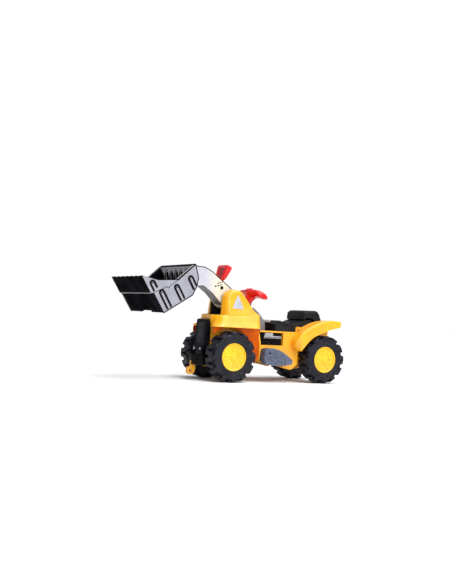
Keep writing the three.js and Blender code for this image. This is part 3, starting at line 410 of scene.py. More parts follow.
def piece(name, points, faces, material, body, nodes=(), slot=None, sharp=40, modifiers=(), closed=True):
    """A finished piece from points in millimetres and faces, riding on a body and standing for CAD nodes."""
    mesh = bpy.data.meshes.new(name)
    mesh.from_pydata(place(np.reshape(points, (-1, 3))).tolist(), [], [list(map(int, f)) for f in faces])
    return dress(name, mesh, material, body, nodes, sharp, modifiers, closed)


def dress(name, mesh, material, body, nodes, sharp, modifiers, closed=True):
    """Cleans a mesh, points its faces out, and puts it in the scene as a named piece."""
    build = bmesh.new()
    build.from_mesh(mesh)
    bmesh.ops.remove_doubles(build, verts=build.verts, dist=2e-6)
    if closed:
        bmesh.ops.recalc_face_normals(build, faces=build.faces)
    build.to_mesh(mesh)
    build.free()
    mesh.materials.clear()
    mesh.materials.append(material)
    mesh.shade_smooth()
    mesh.set_sharp_from_angle(angle=math.radians(sharp))
    made = bpy.data.objects.new(name, mesh)
    bpy.context.scene.collection.objects.link(made)
    for kind, values in modifiers:
        extra = made.modifiers.new(kind.lower(), kind)
        for key, value in values.items():
            setattr(extra, key, value)
    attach(made, body)
    if nodes:
        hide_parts(*nodes)
    return made


def round_edges(width, segments=3, angle=32):
    """Bevel modifier that rounds every edge sharper than angle."""
    values = dict(width=width / 1000, segments=segments, limit_method="ANGLE")
    values |= dict(angle_limit=math.radians(angle), harden_normals=True, use_clamp_overlap=True)
    return ("BEVEL", values)


def walls(thickness):
    """Solidify modifier that gives a sheet an even moulded wall on its inner side."""
    return ("SOLIDIFY", dict(thickness=thickness / 1000, offset=-1.0))


def eased(node, width, material, name=None, segments=3, angle=32):
    """The frame's own solid with its flats merged and its edges rounded over width."""
    source = NODES[node]
    build = bmesh.new()
    build.from_mesh(source.data)
    bmesh.ops.remove_doubles(build, verts=build.verts, dist=1e-5)
    limit = math.radians(0.6)
    bmesh.ops.dissolve_limit(build, angle_limit=limit, verts=build.verts, edges=build.edges)
    mesh = bpy.data.meshes.new(node)
    build.to_mesh(mesh)
    build.free()
    edges = [round_edges(width, segments, angle)]
    return dress(name or node + "_moulding", mesh, material, source["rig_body"], (node,), angle, edges)


AXES = {"xz": (0, 2, 1), "xy": (0, 1, 2), "yz": (1, 2, 0)}


def slab(outline, low, high, edge=2.0, plane="xz", steps=4, edge_low=None):
    """An outline carried straight across, its two rims rounded: each ring is the outline drawn in by
    edge * (1 - cos t) at a depth of edge * (1 - sin t) from the end."""
    rim = np.linspace(0, np.pi / 2, steps)
    edge_low = edge if edge_low is None else edge_low
    inset = np.concatenate([edge_low * (1 - np.sin(rim)), edge * (1 - np.cos(rim))])
    depth = np.concatenate([low + edge_low * (1 - np.cos(rim)), high - edge * (1 - np.sin(rim))])
    rings = np.zeros((len(depth), len(outline), 3))
    u, v, w = AXES[plane]
    flat = np.stack([grown(outline, -d) for d in inset])
    rings[:, :, u], rings[:, :, v], rings[:, :, w] = flat[:, :, 0], flat[:, :, 1], depth[:, None]
    return rings


def capped(rings):
    """Points and faces of a stack of closed rings, with both ends closed."""
    count, around = rings.shape[:2]
    faces = grid_faces(count, around).tolist()
    last = (count - 1) * around
    faces += [list(range(around - 1, -1, -1)), list(range(last, last + around))]
    return rings.reshape(-1, 3), faces


def ring_body(radius, across, x, y_middle, side):
    """A closed ring round a wheel's axis: radius and across are grids over angle and section place."""
    angle = full_turn(radius.shape[0])[:, None]
    grid = np.stack([x + radius * np.cos(angle), y_middle + side * across, radius * np.sin(angle)], -1)
    return grid.reshape(-1, 3), grid_faces(*radius.shape, wrap_rows=True)


def strip_along(points, width, thick, y, steps=16):
    """A rounded strip that follows a line of corners in XZ: a squared-off oval carried along it."""
    line = np.array(points, float)
    far = np.concatenate([[0], np.cumsum(np.linalg.norm(np.diff(line, axis=0), axis=1))])
    u = np.linspace(0, far[-1], 80)
    x, z = np.interp(u, far, line[:, 0]), np.interp(u, far, line[:, 1])
    dx, dz = np.gradient(x), np.gradient(z)
    size = np.hypot(dx, dz)
    nx, nz = -dz / size, dx / size
    turn = full_turn(steps)[None, :]
    off = squared_off(np.cos(turn), 0.6) * width / 2
    rise = squared_off(np.sin(turn), 0.6) * thick / 2
    x, z = x[:, None] + nx[:, None] * off, z[:, None] + nz[:, None] * off
    return np.stack([x, y + rise + 0 * x, z], -1)


def eased_step(value, low, high):
    """0 below low, 1 above high, and a smooth rise between."""
    t = np.clip((value - low) / (high - low), 0, 1)
    return t * t * (3 - 2 * t)


# ------------------------------------------------------------------ wheels
def tyre(label, x, side, body):
    """Section place s runs from one bead over the tread to the other. A point is the smooth carcass plus
    a share of the step up to the lug's top. The share is 1 within each lug's width in angle, where the
    lugs of the two shoulders alternate, lean back, and overlap a little in the middle."""
    half = TYRE_W / 2
    carcass = np.array(
        [(63.6, -8), (65, -3.2), (69, -2.2), (72, -3.6), (74, -4.2), (84, -3), (92, -2.6), (99, -4.5),
         (103, -10), (104, -18), (104, -half)]
    ) + [0, half]
    crown = np.array(
        [(63.6, -8), (65, -3.2), (69, -2.2), (72, -3.6), (74, -4.2), (84, -1.2), (93, -0.2), (104, -0.6),
         (112, -3.5), (115, -9), (115, -half)]
    ) + [0, half]
    key = np.linspace(0, 1, len(carcass))
    s = np.concatenate([np.linspace(0, 0.45, 16), np.linspace(0.47, 1, 22)])
    s = np.concatenate([s, 2 - s[-2::-1]])
    mirrored = np.minimum(s, 2 - s)
    flip = np.where(s > 1, -1, 1)
    low_r, low_y = np.interp(mirrored, key, carcass[:, 0]), flip * np.interp(mirrored, key, carcass[:, 1])
    top_r, top_y = np.interp(mirrored, key, crown[:, 0]), flip * np.interp(mirrored, key, crown[:, 1])
    around = 384
    angle = np.linspace(0, LUGS, around, endpoint=False)[:, None]
    share = np.zeros((around, len(s)))
    for row, phase in ((1, 0.0), (-1, 0.5)):
        along = s if row > 0 else 2 - s
        lean = 0.34 * eased_step(along, 0.62, 1.15)
        reach = np.abs((angle - phase + lean + 0.5) % 1 - 0.5)
        width = 0.235 - 0.05 * eased_step(along, 0.45, 1.0)
        lug = 1 - eased_step(reach, width - 0.022, width + 0.022)
        lug = lug * eased_step(along, 0.42, 0.50) * (1 - eased_step(along, 1.10, 1.16))
        share = np.maximum(share, lug)
    radius = low_r + share * (top_r - low_r)
    across = low_y + share * (top_y - low_y)
    bore = np.linspace(-1, 1, 6)[1:-1] * (half - 8)
    radius = np.concatenate([radius, np.full((around, 4), HUB_R + 0.4)], 1)
    across = np.concatenate([across, np.tile(bore, (around, 1))], 1)
    points, faces = ring_body(radius, across, x, side * (WHEEL_OUTER_Y - half), side)
    piece(f"tyre_tread_{label}", points, faces, TYRE_BLACK, body, (f"tyre_{label}",), "tyre_black", 35)


def hub(label, x, side, body):
    """A dished disc: the face's height over radius r and angle a is a rim, a middle boss and five round
    raised pads with dimples between five broad spokes; the back is a plain cup."""
    half = TYRE_W / 2
    around = 300
    angle = full_turn(around)[:, None]
    r = np.linspace(6.8, HUB_R, 64)[None, :]
    face = np.full((around, 64), half - 12.0)
    face += 7.0 * eased_step(r, 54, 60) - 1.5 * eased_step(r, 61.5, 63)
    face += 4.5 * (1 - eased_step(r, 17, 20)) - 2.0 * (1 - eased_step(r, 12, 13.5))
    turn = (angle / (2 * np.pi) * 5 + 0.25) % 1 - 0.5
    pad = np.hypot(r - 38, turn * 2 * np.pi / 5 * r)
    face += 4.2 * (1 - eased_step(pad, 10, 12.5)) - 2.6 * (1 - eased_step(pad, 4.5, 6.5))
    gap = np.hypot(r - 40, (np.abs(turn) - 0.5) * 2 * np.pi / 5 * r)
    face += 2.6 * (1 - eased_step(gap, 5, 7.5))
    face += 1.6 * (1 - eased_step(np.abs(r - 26), 1.2, 2.4))
    back_r = np.array([HUB_R, HUB_R, HUB_R - 4, HUB_R - 4, 14, 14, 6.8])
    back_y = np.array([half - 24, 8 - half, 8 - half, half - 16, half - 16, 8 - half, 8 - half])
    radius = np.concatenate([np.tile(r, (around, 1)), np.tile(back_r, (around, 1))], 1)
    across = np.concatenate([face, np.tile(back_y, (around, 1))], 1)
    points, faces = ring_body(radius, across, x, side * (WHEEL_OUTER_Y - half), side)
    piece(f"hub_disc_{label}", points, faces, HUB_YELLOW, body, (f"hub_{label}",), "hub_yellow", 50)
    cap = np.array([(0.01, -4.2), (5, -4.4), (9, -5.2), (11.4, -6.6), (12, -8), (12, -13), (0.01, -13)])
    cap = np.tile(cap + [0, half], (48, 1, 1))
    points, faces = ring_body(cap[:, :, 0], cap[:, :, 1], x, side * (WHEEL_OUTER_Y - half), side)
    piece(f"axle_cap_{label}", points, faces, HUB_YELLOW, body, (f"hub_cap_{label}",), "chrome", 30)


for end, axle_x in (("front", 0.0), ("rear", REAR_X)):
    for hand, side in SIDES:
        tyre(f"{end}_{hand}", axle_x, side, f"{end}_{hand}_wheel")
        hub(f"{end}_{hand}", axle_x, side, f"{end}_{hand}_wheel")

# ------------------------------------------------------------------ front shell
def hood_shell():
    """Rings of the hood's plan, one for each row of levels, stacked from the brim at the crease to the
    shelf, which rises towards the rear by 0.07 of the distance. The shell is open below."""
    levels = np.array([
        # z, front corner x y, side corner x, half width, rear side x, rear x, rear half width
        [130.0, 82, 94, 58, 116, -142, -165, 94],
        [132.0, 87, 99, 61, 121, -145, -167, 97],
        [134.5, 88, 100, 62, 122, -145, -167, 98],
        [138.0, 84, 96, 59, 120, -145, -167, 97.5],
        [144.0, 73, 86, 50, 116.5, -146, -166, 96],
        [152.0, 66, 79, 43, 112, -147, -166, 95],
        [165.0, 61, 73, 37, 106, -150, -165, 92],
        [177.0, 58, 69, 33, 101, -152, -163, 90],
        [183.0, 56, 66, 30, 97.5, -153, -161, 88],
        [186.5, 54, 62, 26, 94, -150, -157, 84],
        [187.5, 50, 56, 20, 88, -144, -150, 78],
    ])
    lift = np.interp(levels[:, 0], [134, 150, 186], [0, 0.01, 0.07])
    z, bx, by, cx, w, dx, ex, we = levels.T
    ones = np.ones_like(z)
    front = np.clip(bx + 4, 66.0, 74.0)
    half = np.stack([
        np.stack([70.8 * ones, 46 * ones, 0.5 * ones], 1),
        np.stack([front, 51 * ones, 3 * ones], 1),
        np.stack([bx, by, 9 * ones], 1),
        np.stack([cx, w, 26 * ones], 1),
        np.stack([dx, w, 14 * ones], 1),
        np.stack([ex, we, 12 * ones], 1),
    ], 1)
    other = half[:, ::-1] * [1, -1, 1]
    rings = np.stack([corner_curve(c, 8) for c in np.concatenate([half, other], 1)])
    rise = z[:, None] + lift[:, None] * (26 - rings[:, :, 0])
    rings = np.concatenate([rings, rise[:, :, None]], 2)
    points, faces = capped(rings)
    faces.pop(-2)
    piece("hood_brim", points, faces, BODY_YELLOW, "chassis", ("hood",), "body_yellow", 38, [walls(3.2)])


def arch_skirt(hand, side):
    """The skirt under the brim: lines from the crease to the wheel arch, joined across by v. The surface
    steps inwards at once under the brim (sine of v) and then runs down to the arch's rim."""
    u = np.linspace(0, 1, 90)
    key = [0, 0.05, 0.09, 0.56, 0.62, 0.68, 0.80, 0.90, 0.96, 1.0]
    out_x = np.interp(u, key, [82, 83, 80, -138, -146, -153, -165, -164.5, -157, -131])
    out_z = np.interp(u, key, [99, 124, 132, 133, 129, 108, 57, 14, -16, -22])
    out_y = np.interp(u, key, [95, 99, 106, 116, 114, 110, 108, 107, 107, 107])
    angle = np.radians(np.interp(u, [0, 0.09, 0.62, 1], [50, 54, 138, 188]))
    in_x, in_z = ARCH_R * np.cos(angle), ARCH_R * np.sin(angle)
    in_y = np.interp(u, [0, 0.1, 0.6, 1], [93, 99, 103, 103])
    out_x, out_y, out_z = (smoothed(line, 3, mode="edge") for line in (out_x, out_y, out_z))
    v = np.linspace(0, 1, 14)[:, None]
    across = np.sin(np.minimum(v * 1.25, 1) * np.pi / 2) ** 0.8
    x = out_x + (in_x - out_x) * v
    z = out_z + (in_z - out_z) * v
    y = out_y + (in_y - out_y) * across
    lip = np.stack([in_x * 0.992, in_y - 7, in_z * 0.992], -1)
    grid = np.concatenate([np.stack([x, y, z], -1), lip[None]], 0)
    faces = grid_faces(*grid.shape[:2], wrap_columns=False)
    flip = faces if side < 0 else faces[:, ::-1]
    # The skirt's deep orange is painted shade under the brim, on what is yellow plastic.
    piece(f"arch_skirt_{hand}", grid * [1, side, 1], flip, PAINTED_SHADE_ORANGE, "chassis", (), "body_yellow", 45,
          [walls(2.6), round_edges(0.8, 2, 50)], closed=False)
    edge = corner_curve([(-146, 131, 4), (-156, 112, 8), (-167, 62, 14), (-167, 12, 8), (-158, -14, 6),
                         (-153, -16, 3), (-160, 12, 8), (-159, 60, 14), (-150, 104, 8), (-140, 128, 3)], 6)
    rings = slab(edge, 96, 109.5, 2.4) * [1, side, 1]
    piece(f"leg_flange_{hand}", *capped(rings), BODY_YELLOW, "chassis", (), "body_yellow", 40)


POD_SIDE = [(28, 176, 1), (22, 284, 24), (-20, 306, 34), (-62, 302, 30), (-106, 252, 36), (-132, 216, 30),
            (-156, 198, 14), (-160, 178, 1)]


def filled(rings):
    """The last ring closed by smaller and smaller copies of itself, so that the end can be bent."""
    middle = rings[-1].mean(0)
    shrink = np.linspace(0.92, 0.06, 12)[:, None, None]
    return np.concatenate([rings, middle + (rings[-1] - middle)[None] * shrink])


def pod_lean(z):
    """How far the pod's outer face stands out at a height: it leans in above and flares out below."""
    return 12 * (1 - eased_step(z, 168, 236)) - 6 * eased_step(z, 190, 300)


def pod(hand, side):
    """A raised pod: its side outline carried across with a broad rounding outside, then sheared: the
    outer face leans in with height, and the front is swept back towards the outside."""
    outline = corner_curve(POD_SIDE, 10)
    rings = filled(slab(outline, 52, 89, 13, steps=8, edge_low=3.0))
    y, z = rings[:, :, 1].copy(), rings[:, :, 2]
    out = np.clip((y - 52) / 37, 0, 1)
    rings[:, :, 1] = y + out * pod_lean(z)
    front = eased_step(rings[:, :, 0], -60, 20)
    rings[:, :, 0] -= front * out**1.5 * 15
    rings = rings * [1, side, 1]
    piece(f"hood_pod_{hand}", *capped(rings), BODY_YELLOW, "chassis", (), "body_yellow", 40)


def slot_shadow_liner():
    """The box between the pods that the arm's root swings in: floor, back and both cheeks. Floor and cheeks
    are near-black sheets of painted shadow for the shade in the slot; the back is yellow.
    """
    cheek = [(64, 186, 1), (24, 190, 1), (22, 278, 10), (-18, 298, 12), (-62, 292, 10), (-74, 276, 4),
             (-78, 184, 2)]
    outline = corner_curve(cheek, 5)
    for hand, side in SIDES:
        rings = slab(outline, 50.4, 52.2, 0.4, steps=2) * [1, side, 1]
        piece(f"slot_shadow_side_{hand}", *capped(rings), SLOT_SHADOW_BLACK, "chassis", (), "black_plastic", 40)
    floor = [(30, 188.2, 1), (-74, 195.5, 1), (-77, 276, 3), (-80, 276, 1), (-80, 190, 1), (30, 184, 1)]
    rings = slab(corner_curve(floor, 4), -51, 51, 0.6)
    piece("slot_shadow_floor", *capped(rings), SLOT_SHADOW_BLACK, "chassis", (), "black_plastic", 40)
    back = [(-79, 186, 2), (-76, 272, 6), (-84, 277, 8), (-100, 254, 16), (-118, 214, 16), (-124, 184, 2)]
    rings = slab(corner_curve(back, 8), -53, 53, 1.0)
    piece("hood_back", *capped(rings), BODY_YELLOW, "chassis", (), "body_yellow", 40)


def pod_emblems(hand, side):
    """A plain rounded triangle plate on the pod's side, its outline carried across with eased rims, and
    a half ring above it: a round bead along an arc."""
    plate = corner_curve([(-12, 219, 8), (-74, 218, 8), (-42, 282, 8)], 7)
    rings = filled(slab(plate, 86.2, 92.0, 0.5))
    rings[:, :, 1] += pod_lean(rings[:, :, 2])
    piece(f"triangle_plate_{hand}", *capped(rings * [1, side, 1]), DECAL_SILVER, "chassis", (), None, 40)
    turn = np.linspace(np.radians(20), np.radians(165), 40)[:, None]
    around = full_turn(12)[None, :]
    radius = 36 + 2.2 * np.cos(around)
    x = -46 + radius * np.cos(turn)
    z = 252 + radius * np.sin(turn)
    y = 89.8 + pod_lean(z) + 1.2 * np.sin(around)
    rings = np.stack([x, y, z], -1) * [1, side, 1]
    piece(f"pod_half_ring_{hand}", *capped(rings), BODY_YELLOW, "chassis", (), "body_yellow", 60)


hood_shell()
slot_shadow_liner()
for hand, side in SIDES:
    arch_skirt(hand, side)
    pod(hand, side)
    pod_emblems(hand, side)


# ------------------------------------------------------------------ rear mudguards
def mudguard(hand, side):
    """A profile carried along the crown line: in from the body, out across the top, round the outer
    edge and down to the lower line. Top and lower lines are read off between key places along u."""
    u = np.linspace(0, 1, 110)
    key = [0, 0.07, 0.16, 0.28, 0.38, 0.52, 0.68, 0.76, 0.86, 1.0]
    top_x = np.interp(u, key, [150, 170, 168, 140, 118, 88, 48, 20, -26, -80]) + REAR_X
    top_z = np.interp(u, key, [38, 60, 92, 126, 141, 157, 175, 184, 192, 187])
    low_x = np.interp(u, key, [148, 138, 128, 112, 98, 74, 36, 12, -26, -80]) + REAR_X
    low_z = np.interp(u, key, [37, 46, 58, 76, 90, 108, 124, 133, 146, 159])
    lines = [smoothed(line, 4, mode="reflect", reflect_type="odd") for line in (top_x, top_z, low_x, low_z)]
    top_x, top_z, low_x, low_z = (line[:, None] for line in lines)
    inner = 77.5
    outer = WHEEL_OUTER_Y
    nose = 1 - eased_step(u, 0.0, 0.22)[:, None]
    start = inner + (100.8 - inner) * (1 - eased_step(u, 0.36, 0.40))[:, None]
    lay = np.array([0, 0.10, 0.12, 0.16, 0.18, 0.5, 0.88, 0.94, 0.98, 1.0, 1.0, 1.0, 1.0, 1.0])[None, :]
    down = np.array([0, 0, 0.07, 0.07, 0, 0, 0.0, 0.02, 0.07, 0.16, 0.4, 0.7, 0.95, 1.0])[None, :]
    tuck = nose * 40 * eased_step(lay, 0.3, 1.0) * (1 - eased_step(down, 0.1, 0.9))
    y = start + (outer - start) * lay - tuck
    x = top_x + (low_x - top_x) * down
    z = top_z + (low_z - top_z) * down - 3 * (1 - lay)
    grid = np.stack([x, y, z], -1) * [1, side, 1]
    faces = grid_faces(*grid.shape[:2], wrap_columns=False)
    flip = faces if side > 0 else faces[:, ::-1]
    node = (f"rear_fender_{hand}",)
    piece(f"mudguard_{hand}", grid, flip, BODY_YELLOW, "chassis", node, "body_yellow", 40,
          [walls(3.0), round_edges(0.9, 2, 50)], closed=False)


for hand, side in SIDES:
    mudguard(hand, side)

# ------------------------------------------------------------------ bucket
def from_pivot(points):
    """Corners given from the bucket's pivot, moved to the axle's frame."""
    return [(c[0] + BUCKET_PIVOT[0], c[1] + BUCKET_PIVOT[1], *c[2:]) for c in points]


LEG = np.array([-0.528, -0.849])
ASIDE = np.array([0.849, -0.528])
ARCHES = ((252, -50, 36, 42), (207, -86, 84, 84), (138, -60, 67, 67), (74, -18, 45, 58))


def cheek_arches(hand, side):
    """Dark arches round the cheek's tongues: a half circle over the head and two straight legs, as a
    rounded strip along that line. Each also has a thin pale lip inside its head, a painted highlight on the
    tongue's edge."""
    turn = np.radians(np.linspace(0, 180, 15))
    for index, (x, z, rear_leg, front_leg) in enumerate(ARCHES):
        head = np.array([x, z]) + LEG * 9
        bow = head + np.outer(np.cos(turn), ASIDE) * 10 - np.outer(np.sin(turn), LEG) * 10
        start, end = bow[0] + LEG * (front_leg - 9), bow[-1] + LEG * (rear_leg - 9)
        line = from_pivot([tuple(c) for c in np.vstack([start, bow, end])])
        rings = strip_along(line, 9.6, 2.8, 169.8) * [1, side, 1]
        piece(f"cheek_arch_{hand}_{index + 1}", *capped(rings), BLACK, "bucket", (), "black_plastic", 60)
        small = head + np.outer(np.cos(turn), ASIDE) * 4.2 - np.outer(np.sin(turn), LEG) * 4.2
        rings = strip_along(from_pivot([tuple(c) for c in small]), 1.6, 1.4, 169.9) * [1, side, 1]
        lip = f"tongue_highlight_lip_{hand}_{index + 1}"
        piece(lip, *capped(rings), HIGHLIGHT_AND_TRIM_GREY, "bucket", (), "silver_plastic", 60)


def bucket_trim(hand, side):
    """Dark beads round the cheek's edge and along the line where the front plate laps the rear one."""
    edge = [(130, -37), (49, 37), (32, -21), (38, -57), (56, -95), (188, -179), (240, -99)]
    rings = strip_along([c[:2] for c in from_pivot(edge)], 5.0, 3.4, 169.2) * [1, side, 1]
    piece(f"cheek_bead_{hand}", *capped(rings), BLACK, "bucket", (), "black_plastic", 60)
    lap = [(240, -97), (205, -80), (178, -68), (171, -74), (165, -62), (148, -50), (131, -38)]
    rings = strip_along([c[:2] for c in from_pivot(lap)], 2.6, 1.6, 169.8) * [1, side, 1]
    piece(f"cheek_lap_line_{hand}", *capped(rings), BLACK, "bucket", (), "black_plastic", 60)
    # Painted highlight: a pale strip along the cheek's inner rising edge.
    glint = [(134, -32), (60, 33)]
    rings = strip_along([c[:2] for c in from_pivot(glint)], 2.6, 1.8, 166.8) * [1, side, 1]
    piece(f"cheek_glint_bead_{hand}", *capped(rings), HIGHLIGHT_AND_TRIM_GREY, "bucket", (), "silver_plastic", 60)


def bucket_ribs():
    """Six upright ribs on the bucket's back wall, pale grey as painted highlights on the black plastic, and
    a pale band of painted reflection and a dark bead along its top edge:
    outlines carried across with rounded rims."""
    for index, y in enumerate((-120, -72, -24, 24, 72, 120)):
        rib = [(52, 22, 3), (41, -21, 8), (46, -56, 8), (62, -90, 4), (69, -84, 4), (56, -52, 8),
               (52, -20, 8), (60, 18, 3)]
        rings = slab(corner_curve(from_pivot(rib), 5), y - 6.5, y + 6.5, 2.5)
        piece(f"bucket_rib_{index + 1}", *capped(rings), HIGHLIGHT_AND_TRIM_GREY, "bucket", (), "black_plastic", 45)
    band = [(50, 33, 1), (57, 27, 2), (49, 6, 2), (44, 8, 1)]
    rings = slab(corner_curve(from_pivot(band), 4), -160, 160, 2)
    piece("bucket_top_sheen_band", *capped(rings), HIGHLIGHT_AND_TRIM_GREY, "bucket", (), "black_plastic", 45)
    lip = [(46, 30, 2), (43, 37, 3), (50, 41, 3), (56, 36, 2), (53, 30, 1)]
    rings = slab(corner_curve(from_pivot(lip), 4), -169, 169, 3)
    piece("bucket_top_bead", *capped(rings), BLACK, "bucket", (), "black_plastic", 45)


def blade_teeth():
    """Seven teeth raised on the blade: each a tapered wedge with rounded-square sections, whose width and
    thickness change along its length."""
    along = np.array([0.543, 0.84])
    across = np.array([-0.84, 0.543])
    tip = np.array([295.0, -31.0])
    teeth = 7
    blade_half = 165.0
    pitch = 2 * blade_half / teeth
    t = np.array([-0.2, 1.5, 5, 12, 30, 60, 80])
    wide = np.array([4.0, 6.0, 8, 10.5, 11.5, 11.5, 9.5])
    thick = np.array([2.0, 4.0, 6, 8, 9.5, 9.0, 5.0])
    turn = full_turn(20)
    for index in range(teeth):
        y = -blade_half + pitch * (index + 0.5)
        centre = tip - np.outer(np.maximum(t, 0.3), along) + np.outer(thick / 2 - 1.2, across)
        off = squared_off(np.cos(turn), 0.55)[None, :] * wide[:, None]
        rise = squared_off(np.sin(turn), 0.55)[None, :] * thick[:, None] / 2
        x = centre[:, :1] + rise * across[0] + BUCKET_PIVOT[0]
        z = centre[:, 1:] + rise * across[1] + BUCKET_PIVOT[1]
        rings = np.stack([x, y + off, z], -1)
        piece(f"blade_tooth_{index + 1}", *capped(rings), BUCKET_BLACK, "bucket", (), "black_plastic", 50)


def blade_lap():
    """The pale line where the blade laps the bucket's floor."""
    lap = [(252, -97, 0.6), (253.6, -99.5, 0.6), (248, -102, 0.6), (246, -99, 0.6)]
    rings = slab(corner_curve(from_pivot(lap), 4), -164, 164, 0.5)
    piece("blade_lap_bead", *capped(rings), GREY, "bucket", (), "black_plastic", 45)


for hand, side in SIDES:
    cheek_arches(hand, side)
    bucket_trim(hand, side)
bucket_ribs()
blade_teeth()
blade_lap()


# ------------------------------------------------------------------ loader arm and lever
def arm_trim(hand, side):
    """The dark bead along the arm's upper edge, two rows of short dashes, a pressed panel line, and the
    round caps of two pins."""
    top = [(160, 399), (113, 397), (77, 382), (-32, 308)]
    rings = strip_along(top, 4.2, 3.0, 38.4) * [1, side, 1]
    piece(f"arm_edge_bead_{hand}", *capped(rings), BLACK, "arm", (), "black_plastic", 60)
    dashes = ((38, 331, 6), (28, 334, 6), (18, 336, 5), (48, 316, 9), (34, 320, 9), (22, 324, 7))
    for index, (x, z, long) in enumerate(dashes):
        dash = [(x, z - 3, 1), (x + long, z - 5, 1), (x + long, z + 1.6, 1), (x, z + 3.6, 1)]
        rings = slab(corner_curve(dash, 3), 38.2, 39.35, 0.25, steps=3) * [1, side, 1]
        piece(f"arm_dash_{hand}_{index + 1}", *capped(rings), BLACK, "arm", (), "black_plastic", 40)
    panel = [(146, 388, 8), (112, 386, 10), (84, 374, 10), (40, 346, 8), (60, 320, 8), (84, 306, 10),
             (128, 330, 12), (146, 332, 8)]
    outer = corner_curve(panel, 6)
    bead = np.stack([outer, grown(outer, -1.0), grown(outer, -2.0), grown(outer, -1.0)], 0)
    y = np.array([38.6, 39.5, 38.6, 38.0])[:, None] * np.ones(len(outer))
    ring = np.stack([bead[:, :, 0], y, bead[:, :, 1]], -1).transpose(1, 0, 2) * [1, side, 1]
    faces = grid_faces(len(outer), 4, wrap_rows=True)
    piece(f"arm_panel_bead_{hand}", ring.reshape(-1, 3), faces, SILVER, "arm", (), "silver_plastic", 60)
    for name, spot, radius in (("lever", (20, 310), 8), ("bucket", BUCKET_PIVOT, 11)):
        rings = slab(disc(*spot, radius, 28), 37.5, 42.0, 2.0) * [1, side, 1]
        piece(f"{name}_pin_cap_{hand}", *capped(rings), BLACK, "arm", (), "steel", 50)


def lever_handle():
    """The red grip: rounded rectangles stacked up the lever, growing in width and depth; the front wall is
    pressed in as a smooth panel, by a share that falls to nothing at the panel's border."""
    t = np.linspace(0, 1, 60)
    x = np.interp(t, [0, 0.1, 1], [14, 11, -15])
    z = np.interp(t, [0, 0.1, 1], [338, 345, 412])
    wide = np.interp(t, [0, 0.05, 0.14, 0.3, 0.8, 0.97, 1], [15, 17, 24, 38, 44, 46, 44])
    deep = np.interp(t, [0, 0.05, 0.3, 0.85, 1], [8, 9.5, 12, 17, 15])
    close = np.interp(t, [0, 0.04, 0.96, 1], [0.9, 1, 1, 0.93])
    turn = full_turn(96)
    across = squared_off(np.sin(turn), 0.35)[None, :] * (wide * close)[:, None]
    front = squared_off(np.cos(turn), 0.35)[None, :] * (deep * close)[:, None]
    share = eased_step(t, 0.12, 0.2)[:, None] * (1 - eased_step(t, 0.84, 0.9))[:, None]
    inside = 1 - eased_step(np.abs(across) / wide[:, None], 0.62, 0.76)
    pressed = share * inside * (front > 0)
    front = front - pressed * 5.0
    lean = math.radians(21)
    rings = np.stack([x[:, None] + front * math.cos(lean), across, z[:, None] + front * math.sin(lean)], -1)
    piece("lever_handle", *capped(rings), RED, "lever", ("lever_grip",), "red_plastic", 40)
    for hand, side in SIDES:
        for index in range(5):
            k = 0.28 + 0.13 * index
            cx, cz = np.interp(k, t, x), np.interp(k, t, z)
            y = np.interp(k, t, wide)
            bar = corner_curve([(-8, -1.6, 1.5), (8, -1.6, 1.5), (8, 1.6, 1.5), (-8, 1.6, 1.5)], 3)
            u, v = bar.T
            turned = np.stack([cx + u * math.cos(lean) + v * -math.sin(lean),
                               cz + u * math.sin(lean) + v * math.cos(lean)], 1)
            rings = slab(turned, y - 2.5, y + 0.9, 0.8, steps=3) * [1, side, 1]
            piece(f"grip_ridge_{hand}_{index + 1}", *capped(rings), RED, "lever", (), "red_plastic", 50)
    panel = corner_curve([(0.22, -0.5, 0.06), (0.82, -0.62, 0.1), (0.82, 0.62, 0.1), (0.22, 0.5, 0.06)], 6)
    k, share = panel[:, 0], panel[:, 1]
    w, d = np.interp(k, t, wide), np.interp(k, t, deep)
    cx, cz = np.interp(k, t, x), np.interp(k, t, z)
    rings = []
    for depth in (-7.0, -4.2):
        out = d + depth
        rings.append(np.stack([cx + out * math.cos(lean), share * w, cz + out * math.sin(lean)], 1))
    piece("grip_panel", *capped(np.array(rings)), DEEP_RED, "lever", (), "red_plastic", 40)


RAKE = math.radians(22)


def on_column(along, across, y):
    """A point by its height along the raked column from the bar's hub, its place forward of it, and y."""
    x = -165 - along * math.sin(RAKE) + across * math.cos(RAKE)
    z = 290 + along * math.cos(RAKE) + across * math.sin(RAKE)
    return np.stack(np.broadcast_arrays(x, y, z), -1)


